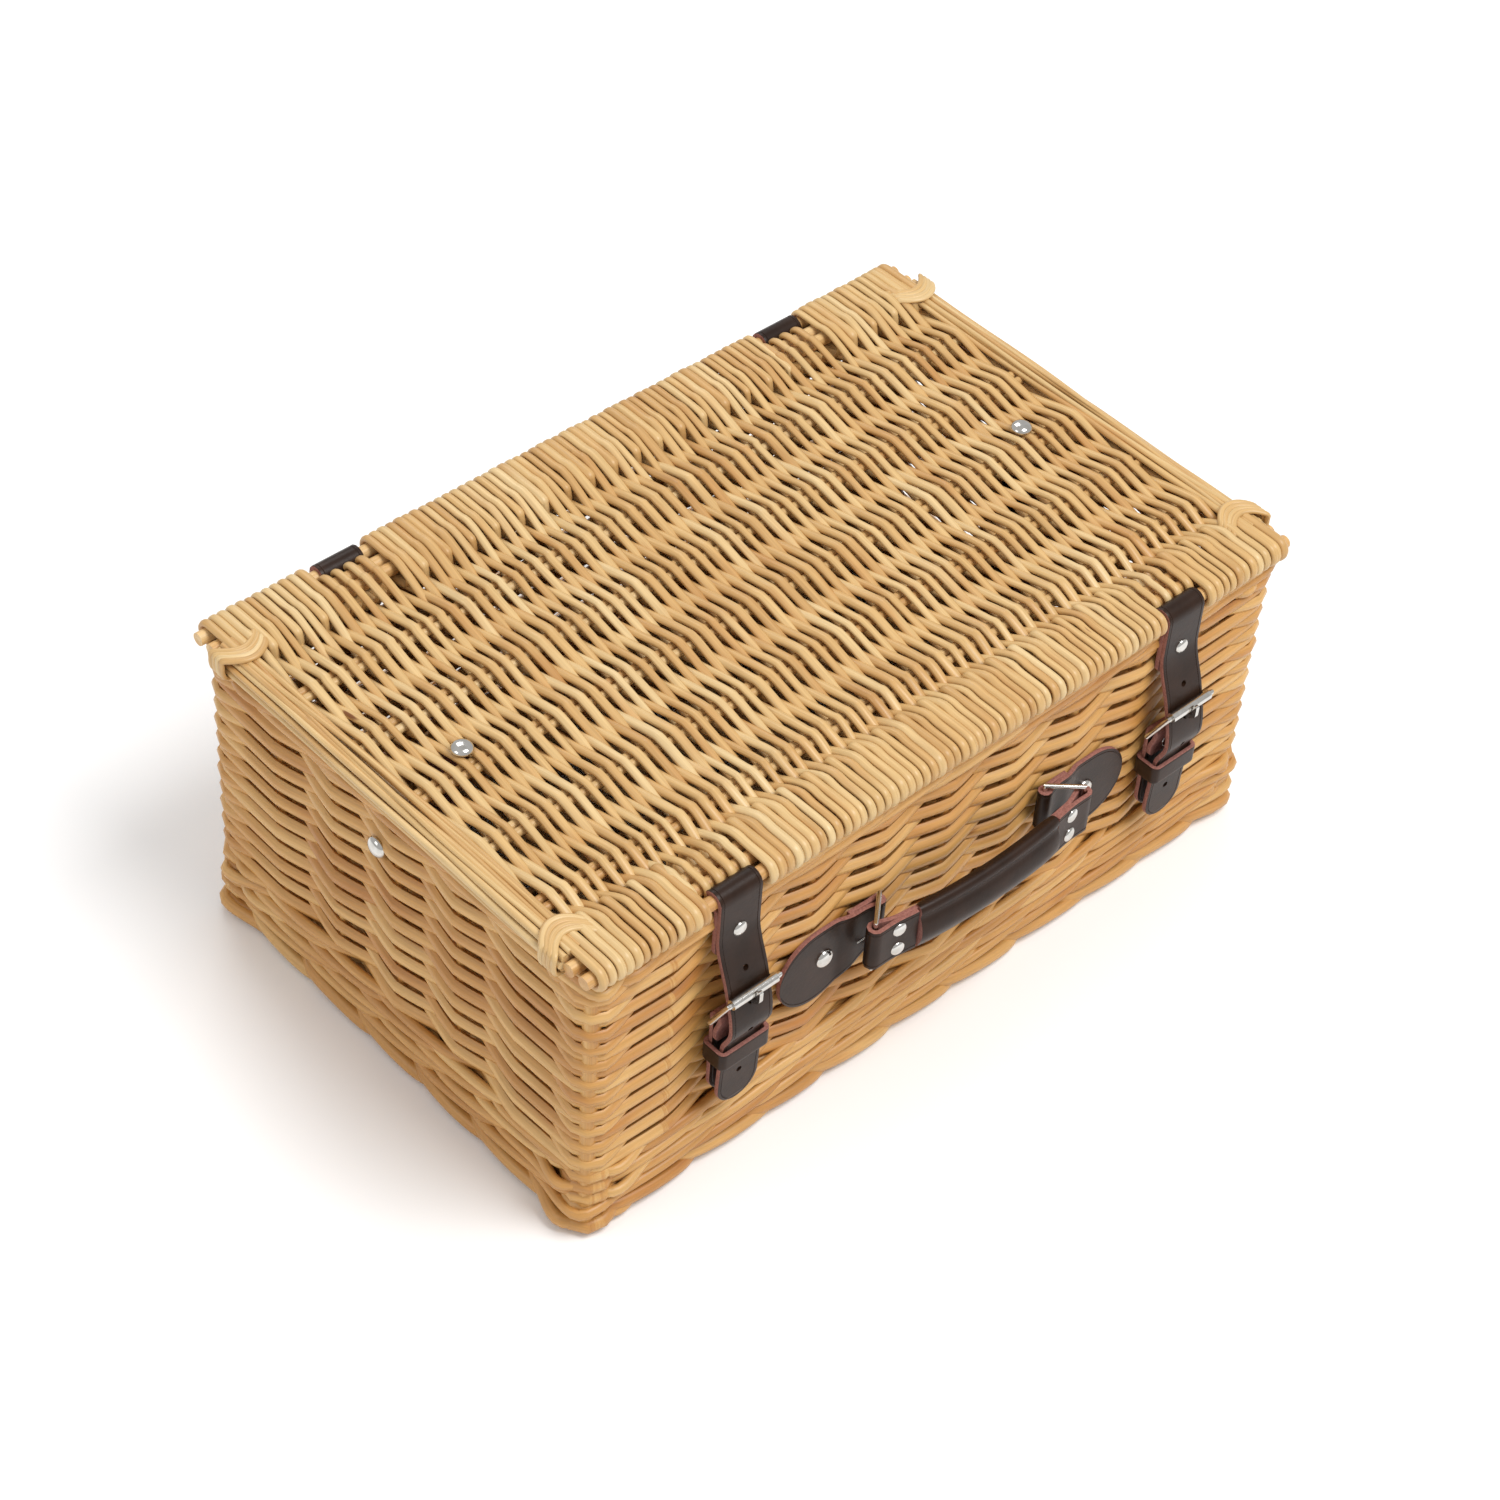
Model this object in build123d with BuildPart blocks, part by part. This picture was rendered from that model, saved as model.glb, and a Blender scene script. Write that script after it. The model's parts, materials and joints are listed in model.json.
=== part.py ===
from build123d import *
from math import cos, radians, sin
import os

# Lidded willow picnic hamper with leather straps, roller buckles and a carry handle.
# Millimetres. X runs along the long side, -Y is the front with the handle, +Z is up.
# The origin is the middle of the flat underside of the base.

# ---- overall sizes ----
lid_length = 460.0
lid_width = 291.0
overall_height = 190.0
lid_end_overhang = 6.0  # how far the lid stands out past the walls at each end
lid_side_overhang = 5.5  # and past the front and back walls

# ---- willow work ----
lid_thickness = 13.0
lid_gap = 1.0  # between the closed lid and the rim it rests over
wall_thickness = 12.0
base_thickness = 9.0
foot_height = 13.0
foot_flare = 2.0  # how far the foot border stands out past the walls
border_round = 1 / 3  # the foot and rim borders' edge radius as a share of their height
rim_height = 12.0
corner_radius = 8.0
inside_corner = 4.0
stick_diameter = 7.0  # the straight frame sticks along the lid's front and back
stick_gap = 0.6
stick_end_inset = 2.0  # the sticks' cut ends stop this far inside the lid's length
stake_diameter = 6.0
stake_fit = 0.05  # air round every stick and stake in the weave
stake_foot_z = 4.0
stake_end_gap = 4.0  # the stakes stop this far under the top of the rim
corner_post_diameter = 9.0
long_wall_stakes = 9
short_wall_stakes = 5
base_stick_diameter = 5.0
base_stick_count = 5
base_stick_end_gap = 8.0  # from a base stick's end to the inside of the wall
lid_stake_diameter = 4.8
lid_stake_groups = 5
lid_stake_pitch = 42.5
lid_stake_shift = -7.0
end_border_width = 14.6
end_border_height = 10.0
end_border_gap = 1.95  # from its tips to the innermost frame sticks
end_border_round = 0.4  # its edge radius as a share of its height
binding_width = 10.0
binding_thickness = 1.2
binding_inset = 9.0  # from the end border's tip to the middle of its binding

# ---- leather ----
leather = 2.4
leather_gap = 0.15  # air left between leather and what it lies on
pin_clearance = 0.05  # radial running clearance of every pin and bar
loop_clearance = 0.5  # between a leather loop and the stick behind it
notch_side_gap = 0.7
strap_width = 25.0
strap_x = {"left": -141.0, "right": 150.0}
hinge_x = {"left": -146.0, "right": 142.0}
strap_tip_z = 52.0
strap_flap_z = 150.0
strap_rivet_z = 163.0
hinge_tail_z = 132.0
hinge_rivet_z = 148.0
chape_tail_z = 56.0
chape_flap_z = 96.0
chape_rivet_z = 101.0
keeper_height = 10.0
keeper_z = 89.0
keeper_leather = 2.2
keeper_side_gap = 0.7
keeper_front_gap = 0.4
keeper_corner = 1.8
cut_margin = 1.0  # how far a cut runs on past what it goes through

# ---- buckles ----
buckle_wire = 2.8
buckle_side_gap = 1.3  # between the strap's edge and the buckle's arm
roller_outer = 5.2
roller_end_gap = 0.3
heel_z = 112.0
roller_z = 131.0
strap_bulge = 12.5  # how far the strap stands out over the heel bar
strap_at_roller = 8.75  # how far it stands out behind the roller
strap_over_rivet = 1.6
strap_over_tail = 3.4
strap_bend_radius = 8.0
strap_bulge_top = 2.0  # over the heel bar
strap_bulge_bottom = 4.0  # under the heel bar
strap_bend_rise = 3.0  # from the keeper up to the bend above it
strap_tip_radius = 12.0
roller_gap = 0.35
prong_thickness = 2.2
prong_loop_outer = 5.8
prong_slot_gap = 0.3
punch_radius = 1.6
prong_hole_radius = 2.1
prong_bend_radius = 2.5
prong_root_angle = 30.0  # forward of straight up, round its loop
prong_knee_out = 0.5  # past the middle of the strap's leather
prong_knee_rise = 1.0  # over halfway from the heel bar to the roller
prong_bend_drop = 3.5  # from the roller's middle down to the prong's upper bend
prong_overhang = 2.0  # past the middle of the roller
hole_pitch = 18.5

# ---- handle ----
handle_centre_x = 7.0
plate_bar_offset = 56.0
handle_bar_offset = 70.0
ring_reach = 12.5  # from the plate's bar out to the handle's bar
ring_wire = 2.5
ring_inner_height = 27.5
ring_z = 106.0
plate_round_radius = 23.0
plate_round_offset = 93.0
plate_round_z = 95.0
plate_roll_height = 24.0
plate_stud_offset = 88.0
plate_stud_z = 98.0
staple_offset = 66.0
staple_z = 98.0
staple_wire = 0.9
staple_width = 6.0
plate_flap_end = 74.0
handle_strap_height = 25.0
handle_loop_slack = 0.75
handle_bow = 6.5
handle_rivet_offset = 58.0
handle_rivet_rise = 6.5
grip_half_length = 46.0
flap_to_grip_gap = 0.5
grip_height = 28.0
grip_thickness = 10.5
grip_round = 4.0

# ---- rivets, studs and lid stays ----
rivet_head_radius = 4.0
rivet_head_height = 1.6
shank_radius = 1.2
shank_clearance = 0.1
stud_head_radius = 5.5
stud_head_height = 3.0
head_taper = 0.6  # top of a head as a share of its radius
burr_thickness = 1.2
lid_stud_inset = 48.0  # from the lid's end
lid_stud_y = 0.0
wall_stud_y = 10.0
wall_stud_z = 145.0
stay_width = 17.0
stay_thickness = 2.0
stay_drop_z = 72.0
stay_lid_end = 10.0  # past the stud
stay_wall_top = 8.0  # past the stud
stay_fold_out = 9.0  # from the stud out to where it turns down from the lid
stay_y = 5.0
stay_bend_radius = 4.0

# ---- worked out from the sizes above ----
sides = {"left": -1, "right": 1}
rim_top = overall_height - lid_thickness - lid_gap
rim_bottom = rim_top - rim_height
lid_bottom = overall_height - lid_thickness
lid_mid = overall_height - lid_thickness / 2
body_length = lid_length - 2 * lid_end_overhang
body_width = lid_width - 2 * lid_side_overhang
axis_y = lid_width / 2 - lid_thickness / 2  # the outermost stick at the back, minus this at the front
stick_radius = stick_diameter / 2
loop_inner = stick_radius + pin_clearance
loop_outer = loop_inner + leather
middle_stick_y = axis_y - loop_outer - loop_clearance - stick_radius
inner_stick_y = middle_stick_y - stick_diameter - stick_gap
stick_length = lid_length - 2 * stick_end_inset
notch_width = strap_width + 2 * notch_side_gap
notch_floor_y = middle_stick_y + stick_radius / 2  # the middle stick shows in the notch

inside_length = body_length - 2 * wall_thickness
inside_width = body_width - 2 * wall_thickness
wall_face = body_width / 2
wall_inner_face = inside_width / 2
wall_mid_x = body_length / 2 - wall_thickness / 2
wall_mid_y = body_width / 2 - wall_thickness / 2
wall_height = rim_bottom - foot_height
wall_mid_z = foot_height + wall_height / 2
long_stake_pitch = 2 * wall_mid_x / (long_wall_stakes + 1)
short_stake_pitch = 2 * wall_mid_y / (short_wall_stakes + 1)
stake_length = rim_top - stake_end_gap - stake_foot_z
stake_mid_z = stake_foot_z + stake_length / 2
base_stick_pitch = inside_width / (base_stick_count + 1)
base_stick_length = inside_length - 2 * base_stick_end_gap

end_border_length = 2 * (inner_stick_y - stick_radius - end_border_gap)
end_border_outer = lid_length / 2 - binding_thickness
end_border_inner = end_border_outer - end_border_width
end_border_x = end_border_outer - end_border_width / 2
end_border_edge = end_border_height * end_border_round
pocket_x = end_border_inner - binding_thickness - stake_fit
pocket_half = end_border_length / 2 + stake_fit
binding_y = end_border_length / 2 - binding_inset

# Leather lies against the wall from here outwards: keeper first, then the chape.
layer_0 = wall_face + leather_gap
hinge_outer_y = axis_y + loop_outer
strap_inner_y = -axis_y - loop_inner
strap_outer_y = -axis_y - loop_outer
bar_radius = buckle_wire / 2
chape_inner = bar_radius + pin_clearance
chape_outer = chape_inner + leather
chape_back_y = -(layer_0 + keeper_leather + leather_gap)
chape_middle_y = chape_back_y - leather
chape_front_y = chape_middle_y - leather
heel_y = chape_middle_y - chape_inner
strap_roller_y = strap_inner_y - strap_at_roller
strap_bulge_y = strap_inner_y - strap_bulge
strap_rivet_y = chape_front_y - rivet_head_height - strap_over_rivet
strap_tip_y = chape_middle_y - strap_over_tail
strap_bend_z = keeper_z + keeper_height / 2 + strap_bend_rise
roller_y = strap_roller_y - leather - roller_gap - roller_outer / 2
buckle_inner_width = strap_width + 2 * buckle_side_gap
arm_x = buckle_inner_width / 2 + bar_radius
keeper_inner_y = strap_rivet_y - leather - keeper_front_gap
keeper_inner_x = strap_width / 2 + keeper_side_gap

prong_front_y = roller_y - roller_outer / 2 - roller_gap - prong_thickness / 2
prong_loop_middle = (chape_inner + prong_loop_outer / 2) / 2
prong_root_turn = radians(prong_root_angle)
prong_root_y = heel_y - prong_loop_middle * sin(prong_root_turn)
prong_root = (prong_root_y, heel_z + prong_loop_middle * cos(prong_root_turn))
prong_knee = (strap_roller_y - leather / 2 - prong_knee_out, (heel_z + roller_z) / 2 + prong_knee_rise)
prong_over = (prong_front_y, roller_z - prong_bend_drop)
prong_tip = (prong_front_y, roller_z + prong_overhang)

ring_radius = ring_wire / 2
plate_roll_inner = ring_radius + pin_clearance
plate_roll_outer = plate_roll_inner + leather
plate_bar_y = -(layer_0 + plate_roll_outer)
plate_face_y = -(layer_0 + leather)
plate_flap_y = plate_face_y - leather
handle_bar_y = plate_bar_y - ring_reach
handle_loop_inner = ring_radius + handle_loop_slack
handle_loop_outer = handle_loop_inner + leather
handle_bow_radius = (handle_bar_offset**2 + handle_bow**2) / (2 * handle_bow)
handle_bow_centre_y = handle_bar_y - handle_bow + handle_bow_radius
ring_rise = (ring_inner_height + ring_wire) / 2

lid_stud_x = lid_length / 2 - lid_stud_inset
stay_fold_x = lid_stud_x + stay_fold_out
stay_top_z = lid_bottom - leather_gap
stay_wall_x = inside_length / 2 - leather_gap - stay_thickness

base_up = (Align.CENTER, Align.CENTER, Align.MIN)
top_down = (Align.CENTER, Align.CENTER, Align.MAX)
along_x = (0, 90, 0)
along_y = (90, 0, 0)


def export(piece, name):
    """Labels a finished piece and writes it to its own file."""
    piece.part.label = name
    export_step(piece.part, f"parts/{name}.step")


def stakes(radius, length, mode=Mode.ADD):
    """The upright stakes of all four walls, or the ways for them."""
    with Locations((0, 0, stake_mid_z)):
        with GridLocations(long_stake_pitch, 2 * wall_mid_y, long_wall_stakes, 2):
            Cylinder(radius, length, mode=mode)
        with GridLocations(2 * wall_mid_x, short_stake_pitch, 2, short_wall_stakes):
            Cylinder(radius, length, mode=mode)


def posts(radius, length, mode=Mode.ADD):
    """The four corner posts, or the ways for them."""
    with Locations((0, 0, stake_mid_z)):
        with GridLocations(2 * wall_mid_x, 2 * wall_mid_y, 2, 2):
            Cylinder(radius, length, mode=mode)


def stake_ways():
    """Opens the weave being made round every stake and corner post."""
    stakes(stake_diameter / 2 + stake_fit, stake_length + 2 * stake_fit, Mode.SUBTRACT)
    posts(corner_post_diameter / 2 + stake_fit, stake_length + 2 * stake_fit, Mode.SUBTRACT)


def bar(along, radius, length, x, y, z, mode=Mode.ADD):
    """A plain round bar or bore, turned to lie along X or along Y."""
    with Locations((x, y, z)):
        Cylinder(radius, length, rotation=along, mode=mode)


def rod(start, end, radius):
    """A round wire from one point to another, with ball ends."""
    run = Vector(*end) - Vector(*start)
    with Locations(Plane(origin=start, z_dir=run)):
        Cylinder(radius, run.length, align=base_up)
    with Locations(start, end):
        Sphere(radius)


def wire_loop(corners, radius):
    """A closed loop of round wire with mitred corners, begun in the middle of its first side."""
    run = Vector(*corners[1]) - Vector(*corners[0])
    start = Vector(*corners[0]) + run / 2
    with BuildLine() as path:
        Polyline(start, *corners[1:], corners[0], start)
    with BuildSketch(Plane(origin=start, z_dir=run)) as section:
        Circle(radius)
    sweep(section.sketch, path=path.wire(), transition=Transition.RIGHT)


def block(x0, x1, y0, y1, z0, z1, mode=Mode.ADD):
    """A block between two corners."""
    with Locations(((x0 + x1) / 2, (y0 + y1) / 2, (z0 + z1) / 2)):
        Box(abs(x1 - x0), abs(y1 - y0), abs(z1 - z0), mode=mode)


def rectangle(x0, x1, y0, y1, mode=Mode.ADD):
    """A rectangle between two corners of the sketch being made."""
    with Locations(((x0 + x1) / 2, (y0 + y1) / 2)):
        Rectangle(abs(x1 - x0), abs(y1 - y0), mode=mode)


def border(length, width, bottom, height, name):
    """A willow border that runs all the way round, with its top outside edge rounded."""
    with BuildPart() as ring:
        with BuildSketch(Plane.XY.offset(bottom)):
            RectangleRounded(length, width, corner_radius)
        extrude(amount=height)
        fillet(ring.edges().group_by(Axis.Z)[-1], radius=height * border_round)
        with BuildSketch(Plane.XY.offset(bottom)):
            RectangleRounded(inside_length, inside_width, inside_corner)
        extrude(amount=height, mode=Mode.SUBTRACT)
        stake_ways()
    export(ring, name)


def fastener(seat, grip, head_radius=rivet_head_radius, head_height=rivet_head_height):
    """A head that sits on the seat plane, and its shank down through what it grips."""
    with Locations(seat):
        Cone(head_radius, head_radius * head_taper, head_height, align=base_up)
        Cylinder(shank_radius, grip, align=top_down)


def burr(seat, grip):
    """The washer that the shank is closed over."""
    with Locations(seat.offset(-grip)):
        Cylinder(rivet_head_radius, burr_thickness, align=top_down)


def shank_way(seat):
    """The hole for a fastener."""
    with Locations(seat):
        Cylinder(shank_radius + shank_clearance, 4 * wall_thickness, mode=Mode.SUBTRACT)


def front_seat(x, y, z):
    """A plane that faces the front."""
    return Plane(origin=(x, y, z), x_dir=(1, 0, 0), z_dir=(0, -1, 0))


def back_seat(x, y, z):
    """A plane that faces the back."""
    return Plane(origin=(x, y, z), x_dir=(1, 0, 0), z_dir=(0, 1, 0))


def handle_seat(offset, z):
    """A plane on the front of the bowed handle's riveted flap."""
    bow = Vector(offset, -((handle_bow_radius**2 - offset**2) ** 0.5), 0)
    out = bow.normalized()
    centre = Vector(handle_centre_x, handle_bow_centre_y, z)
    return Plane(origin=centre + bow + out * leather, z_dir=out)


def handle_band(back, front):
    """A band that follows the handle's bow, from one radius of the bow to another."""
    half = handle_bar_offset
    ends = []
    for depth in (back, front):
        radius = handle_bow_radius + depth
        y = handle_bow_centre_y - (radius**2 - half**2) ** 0.5
        ends.append((y, handle_bow_centre_y - radius))
    left = handle_centre_x - half
    right = handle_centre_x + half
    with BuildLine() as outline:
        ThreePointArc((left, ends[0][0]), (handle_centre_x, ends[0][1]), (right, ends[0][0]))
        Line((right, ends[0][0]), (right, ends[1][0]))
        ThreePointArc((right, ends[1][0]), (handle_centre_x, ends[1][1]), (left, ends[1][0]))
        Line((left, ends[1][0]), (left, ends[0][0]))
    make_face(outline.edges())


def strap_seat(name):
    """Where the strap's rivet sits."""
    return front_seat(strap_x[name], strap_outer_y, strap_rivet_z)


def chape_seat(name):
    """Where the rivet of the buckle's chape sits."""
    return front_seat(strap_x[name], chape_front_y, chape_rivet_z)


def hinge_seat(name):
    """Where the rivet of a hinge loop sits."""
    return back_seat(hinge_x[name], hinge_outer_y, hinge_rivet_z)


def plate_seat(hand):
    """Where the stud of a handle plate sits."""
    return front_seat(handle_centre_x + hand * plate_stud_offset, plate_face_y, plate_stud_z)


def lid_seat(hand):
    """Where a stud of the lid sits."""
    return Plane(origin=(hand * lid_stud_x, lid_stud_y, overall_height), z_dir=(0, 0, 1))


def wall_seat(hand):
    """Where a stud of the end wall sits."""
    return Plane(origin=(hand * body_length / 2, wall_stud_y, wall_stud_z), z_dir=(hand, 0, 0))


os.makedirs("parts", exist_ok=True)

# ---- base ----
border(body_length + 2 * foot_flare, body_width + 2 * foot_flare, 0, foot_height, "foot_border")

base_rows = [(i - (base_stick_count - 1) / 2) * base_stick_pitch for i in range(base_stick_count)]

with BuildPart() as base_weave:
    with BuildSketch():
        RectangleRounded(inside_length, inside_width, inside_corner)
    extrude(amount=base_thickness)
    for y in base_rows:
        way = base_stick_diameter / 2 + stake_fit
        bar(along_x, way, base_stick_length + stake_fit, 0, y, base_thickness / 2, Mode.SUBTRACT)
export(base_weave, "base_weave")

with BuildPart() as base_sticks:
    for y in base_rows:
        bar(along_x, base_stick_diameter / 2, base_stick_length, 0, y, base_thickness / 2)
export(base_sticks, "base_sticks")

# ---- walls ----
with BuildPart() as wall_front:
    with Locations((0, -wall_mid_y, wall_mid_z)):
        Box(body_length, wall_thickness, wall_height)
    fillet(wall_front.faces().sort_by(Axis.Y)[0].edges().filter_by(Axis.Z), radius=corner_radius)
    stake_ways()
    for name, hand in sides.items():
        shank_way(chape_seat(name))
        shank_way(plate_seat(hand))
export(wall_front, "wall_front_weave")

with BuildPart() as wall_back:
    with Locations((0, wall_mid_y, wall_mid_z)):
        Box(body_length, wall_thickness, wall_height)
    fillet(wall_back.faces().sort_by(Axis.Y)[-1].edges().filter_by(Axis.Z), radius=corner_radius)
    stake_ways()
    for name in sides:
        shank_way(hinge_seat(name))
export(wall_back, "wall_back_weave")

for name, hand in sides.items():
    with BuildPart() as wall_end:
        with Locations((hand * wall_mid_x, 0, wall_mid_z)):
            Box(wall_thickness, inside_width, wall_height)
        stake_ways()
        shank_way(wall_seat(hand))
    export(wall_end, f"wall_{name}_weave")

with BuildPart() as wall_stakes:
    stakes(stake_diameter / 2, stake_length)
export(wall_stakes, "wall_stakes")

with BuildPart() as corner_posts:
    posts(corner_post_diameter / 2, stake_length)
export(corner_posts, "corner_posts")

border(body_length, body_width, rim_bottom, rim_height, "rim_border")

# ---- lid ----
stick_rows = {
    "lid_front_stick": [-axis_y],
    "lid_front_inner_sticks": [-middle_stick_y, -inner_stick_y],
    "lid_back_stick": [axis_y],
    "lid_back_inner_sticks": [middle_stick_y, inner_stick_y],
}
lid_stake_rows = [
    lid_stake_shift + (i - (lid_stake_groups - 1) / 2) * lid_stake_pitch for i in range(lid_stake_groups)
]

with BuildPart() as lid_weave:
    with BuildSketch(Plane.YZ):
        with Locations((0, lid_mid)):
            SlotOverall(lid_width, lid_thickness)
    extrude(amount=body_length / 2, both=True)
    for hand in sides.values():
        block(hand * pocket_x, hand * lid_length, -pocket_half, pocket_half, lid_bottom - cut_margin,
              overall_height + cut_margin, Mode.SUBTRACT)
    for side, places in ((-1, strap_x), (1, hinge_x)):
        for x in places.values():
            block(x - notch_width / 2, x + notch_width / 2, side * notch_floor_y, side * lid_width,
                  lid_bottom - cut_margin, overall_height + cut_margin, Mode.SUBTRACT)
    for rows in stick_rows.values():
        for y in rows:
            bar(along_x, loop_inner, lid_length, 0, y, lid_mid, Mode.SUBTRACT)
    with BuildSketch(Plane.YZ):
        for y in lid_stake_rows:
            with Locations((y, lid_mid)):
                SlotOverall(2 * lid_stake_diameter + 2 * stake_fit, lid_stake_diameter + 2 * stake_fit)
    extrude(amount=lid_length, both=True, mode=Mode.SUBTRACT)
    for hand in sides.values():
        shank_way(lid_seat(hand))
export(lid_weave, "lid_weave")

for name, rows in stick_rows.items():
    with BuildPart() as lid_sticks:
        for y in rows:
            bar(along_x, stick_radius, stick_length, 0, y, lid_mid)
    export(lid_sticks, name)

lid_stake_radius = lid_stake_diameter / 2 - stake_fit
with BuildPart() as lid_stakes:
    for row in lid_stake_rows:
        for y in (row - lid_stake_diameter / 2, row + lid_stake_diameter / 2):
            bar(along_x, lid_stake_radius, 2 * end_border_inner, 0, y, lid_mid)
export(lid_stakes, "lid_stakes")

for name, hand in sides.items():
    with BuildPart() as end_border:
        with Locations((hand * end_border_x, 0, lid_mid)):
            Box(end_border_width, end_border_length, end_border_height)
        fillet(end_border.edges().filter_by(Axis.Y), radius=end_border_edge)
    export(end_border, f"lid_end_border_{name}")

with BuildPart() as corner_bindings:
    for y in (-binding_y, binding_y):
        with BuildSketch(Plane.XZ.offset(-y)):
            with Locations((-end_border_x, lid_mid), (end_border_x, lid_mid)):
                RectangleRounded(
                    end_border_width + 2 * binding_thickness,
                    end_border_height + 2 * binding_thickness,
                    end_border_edge + binding_thickness,
                )
                RectangleRounded(
                    end_border_width, end_border_height, end_border_edge, mode=Mode.SUBTRACT
                )
        extrude(amount=binding_width / 2, both=True)
export(corner_bindings, "lid_corner_bindings")

lid_stud_grip = lid_thickness + leather_gap + stay_thickness
for name, hand in sides.items():
    with BuildPart() as lid_stud:
        fastener(lid_seat(hand), lid_stud_grip, stud_head_radius, stud_head_height)
        burr(lid_seat(hand), lid_stud_grip)
    export(lid_stud, f"lid_stud_{name}")

# ---- hinge loops: leather folded round the lid's back stick and riveted to the wall ----
for name, x in hinge_x.items():
    with BuildPart() as hinge_loop:
        with BuildSketch(Plane.YZ.offset(x)):
            with Locations((axis_y, lid_mid)):
                Circle(loop_outer)
            rectangle(layer_0, hinge_outer_y, hinge_tail_z, lid_mid)
            with Locations((axis_y, lid_mid)):
                Circle(loop_inner, mode=Mode.SUBTRACT)
        extrude(amount=strap_width / 2, both=True)
        shank_way(hinge_seat(name))
    export(hinge_loop, f"hinge_loop_{name}")

    with BuildPart() as hinge_rivet:
        fastener(hinge_seat(name), hinge_outer_y - wall_inner_face)
        burr(hinge_seat(name), hinge_outer_y - wall_inner_face)
    export(hinge_rivet, f"hinge_rivet_{name}")

# ---- straps: folded round the lid's front stick, down through the buckle and the keeper ----
strap_route = [
    (strap_inner_y, lid_mid),
    (strap_inner_y, strap_flap_z),
    (strap_roller_y, roller_z),
    (strap_bulge_y, heel_z + strap_bulge_top),
    (strap_bulge_y, heel_z - strap_bulge_bottom),
    (strap_rivet_y, strap_bend_z),
    (strap_tip_y, strap_tip_z),
]
prong_way = Vector(0, prong_over[0] - prong_knee[0], prong_over[1] - prong_knee[1])

for name, x in strap_x.items():
    with BuildPart() as strap:
        with BuildSketch(Plane.YZ.offset(x)):
            with BuildLine():
                FilletPolyline(*strap_route, radius=strap_bend_radius)
                offset(amount=leather, side=Side.RIGHT)
            make_face()
            with Locations((-axis_y, lid_mid)):
                Circle(loop_outer)
            rectangle(strap_outer_y, -layer_0, strap_flap_z, lid_mid)
            with Locations((-axis_y, lid_mid)):
                Circle(loop_inner, mode=Mode.SUBTRACT)
        extrude(amount=strap_width / 2, both=True)
        tip = strap.faces().sort_by(Axis.Z)[0]
        fillet(tip.edges().sort_by(SortBy.LENGTH)[:2], radius=strap_tip_radius)
        for z in (prong_knee[1] - hole_pitch, prong_knee[1] + hole_pitch):
            bar(along_y, punch_radius, 4 * strap_bulge, x, strap_bulge_y, z, Mode.SUBTRACT)
        with Locations(Plane(origin=(x, *prong_knee), z_dir=prong_way)):
            Cylinder(prong_hole_radius, 5 * leather, mode=Mode.SUBTRACT)
        shank_way(strap_seat(name))
    export(strap, f"strap_{name}")

    with BuildPart() as strap_rivet:
        fastener(strap_seat(name), 2 * leather)
    export(strap_rivet, f"strap_rivet_{name}")

# ---- chapes: they hold each buckle by its heel bar, and are riveted to the front wall ----
for name, x in strap_x.items():
    with BuildPart() as chape:
        with BuildSketch(Plane.YZ.offset(x)):
            with Locations((heel_y, heel_z)):
                Circle(chape_outer)
            rectangle(chape_middle_y, chape_back_y, chape_tail_z, heel_z)
            rectangle(chape_front_y, chape_back_y, chape_flap_z, heel_z)
            with Locations((heel_y, heel_z)):
                Circle(chape_inner, mode=Mode.SUBTRACT)
        extrude(amount=strap_width / 2, both=True)
        slot = prong_thickness / 2 + prong_slot_gap
        slot_floor = heel_z - prong_loop_outer / 2 - prong_slot_gap
        block(x - slot, x + slot, heel_y - 2 * chape_outer, -wall_face, slot_floor,
              heel_z + 2 * chape_outer, Mode.SUBTRACT)
        shank_way(chape_seat(name))
    export(chape, f"chape_{name}")

    with BuildPart() as chape_rivet:
        fastener(chape_seat(name), -chape_front_y - wall_inner_face)
        burr(chape_seat(name), -chape_front_y - wall_inner_face)
    export(chape_rivet, f"chape_rivet_{name}")

    with BuildPart() as keeper:
        outer_x = keeper_inner_x + keeper_leather
        block(x - outer_x, x + outer_x, -layer_0, keeper_inner_y - keeper_leather,
              keeper_z - keeper_height / 2, keeper_z + keeper_height / 2)
        fillet(keeper.edges().filter_by(Axis.Z), radius=keeper_corner)
        block(x - keeper_inner_x, x + keeper_inner_x, -layer_0 - keeper_leather, keeper_inner_y,
              keeper_z - keeper_height, keeper_z + keeper_height, Mode.SUBTRACT)
    export(keeper, f"keeper_{name}")

# ---- roller buckles ----
for name, x in strap_x.items():
    with BuildPart() as buckle_frame:
        corners = [
            (x - arm_x, heel_y, heel_z),
            (x + arm_x, heel_y, heel_z),
            (x + arm_x, roller_y, roller_z),
            (x - arm_x, roller_y, roller_z),
        ]
        wire_loop(corners, bar_radius)
    export(buckle_frame, f"buckle_frame_{name}")

    with BuildPart() as buckle_roller:
        length = buckle_inner_width - 2 * roller_end_gap
        bar(along_x, roller_outer / 2, length, x, roller_y, roller_z)
        bar(along_x, bar_radius + pin_clearance, 2 * length, x, roller_y, roller_z, Mode.SUBTRACT)
    export(buckle_roller, f"buckle_roller_{name}")

    with BuildPart() as buckle_prong:
        with BuildSketch(Plane.YZ.offset(x)):
            with BuildLine():
                FilletPolyline(prong_root, prong_knee, prong_over, prong_tip, radius=prong_bend_radius)
                offset(amount=prong_thickness / 2, side=Side.BOTH)
            make_face()
            with Locations((heel_y, heel_z)):
                Circle(prong_loop_outer / 2)
                Circle(chape_inner, mode=Mode.SUBTRACT)
        extrude(amount=prong_thickness / 2, both=True)
    export(buckle_prong, f"buckle_prong_{name}")

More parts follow.
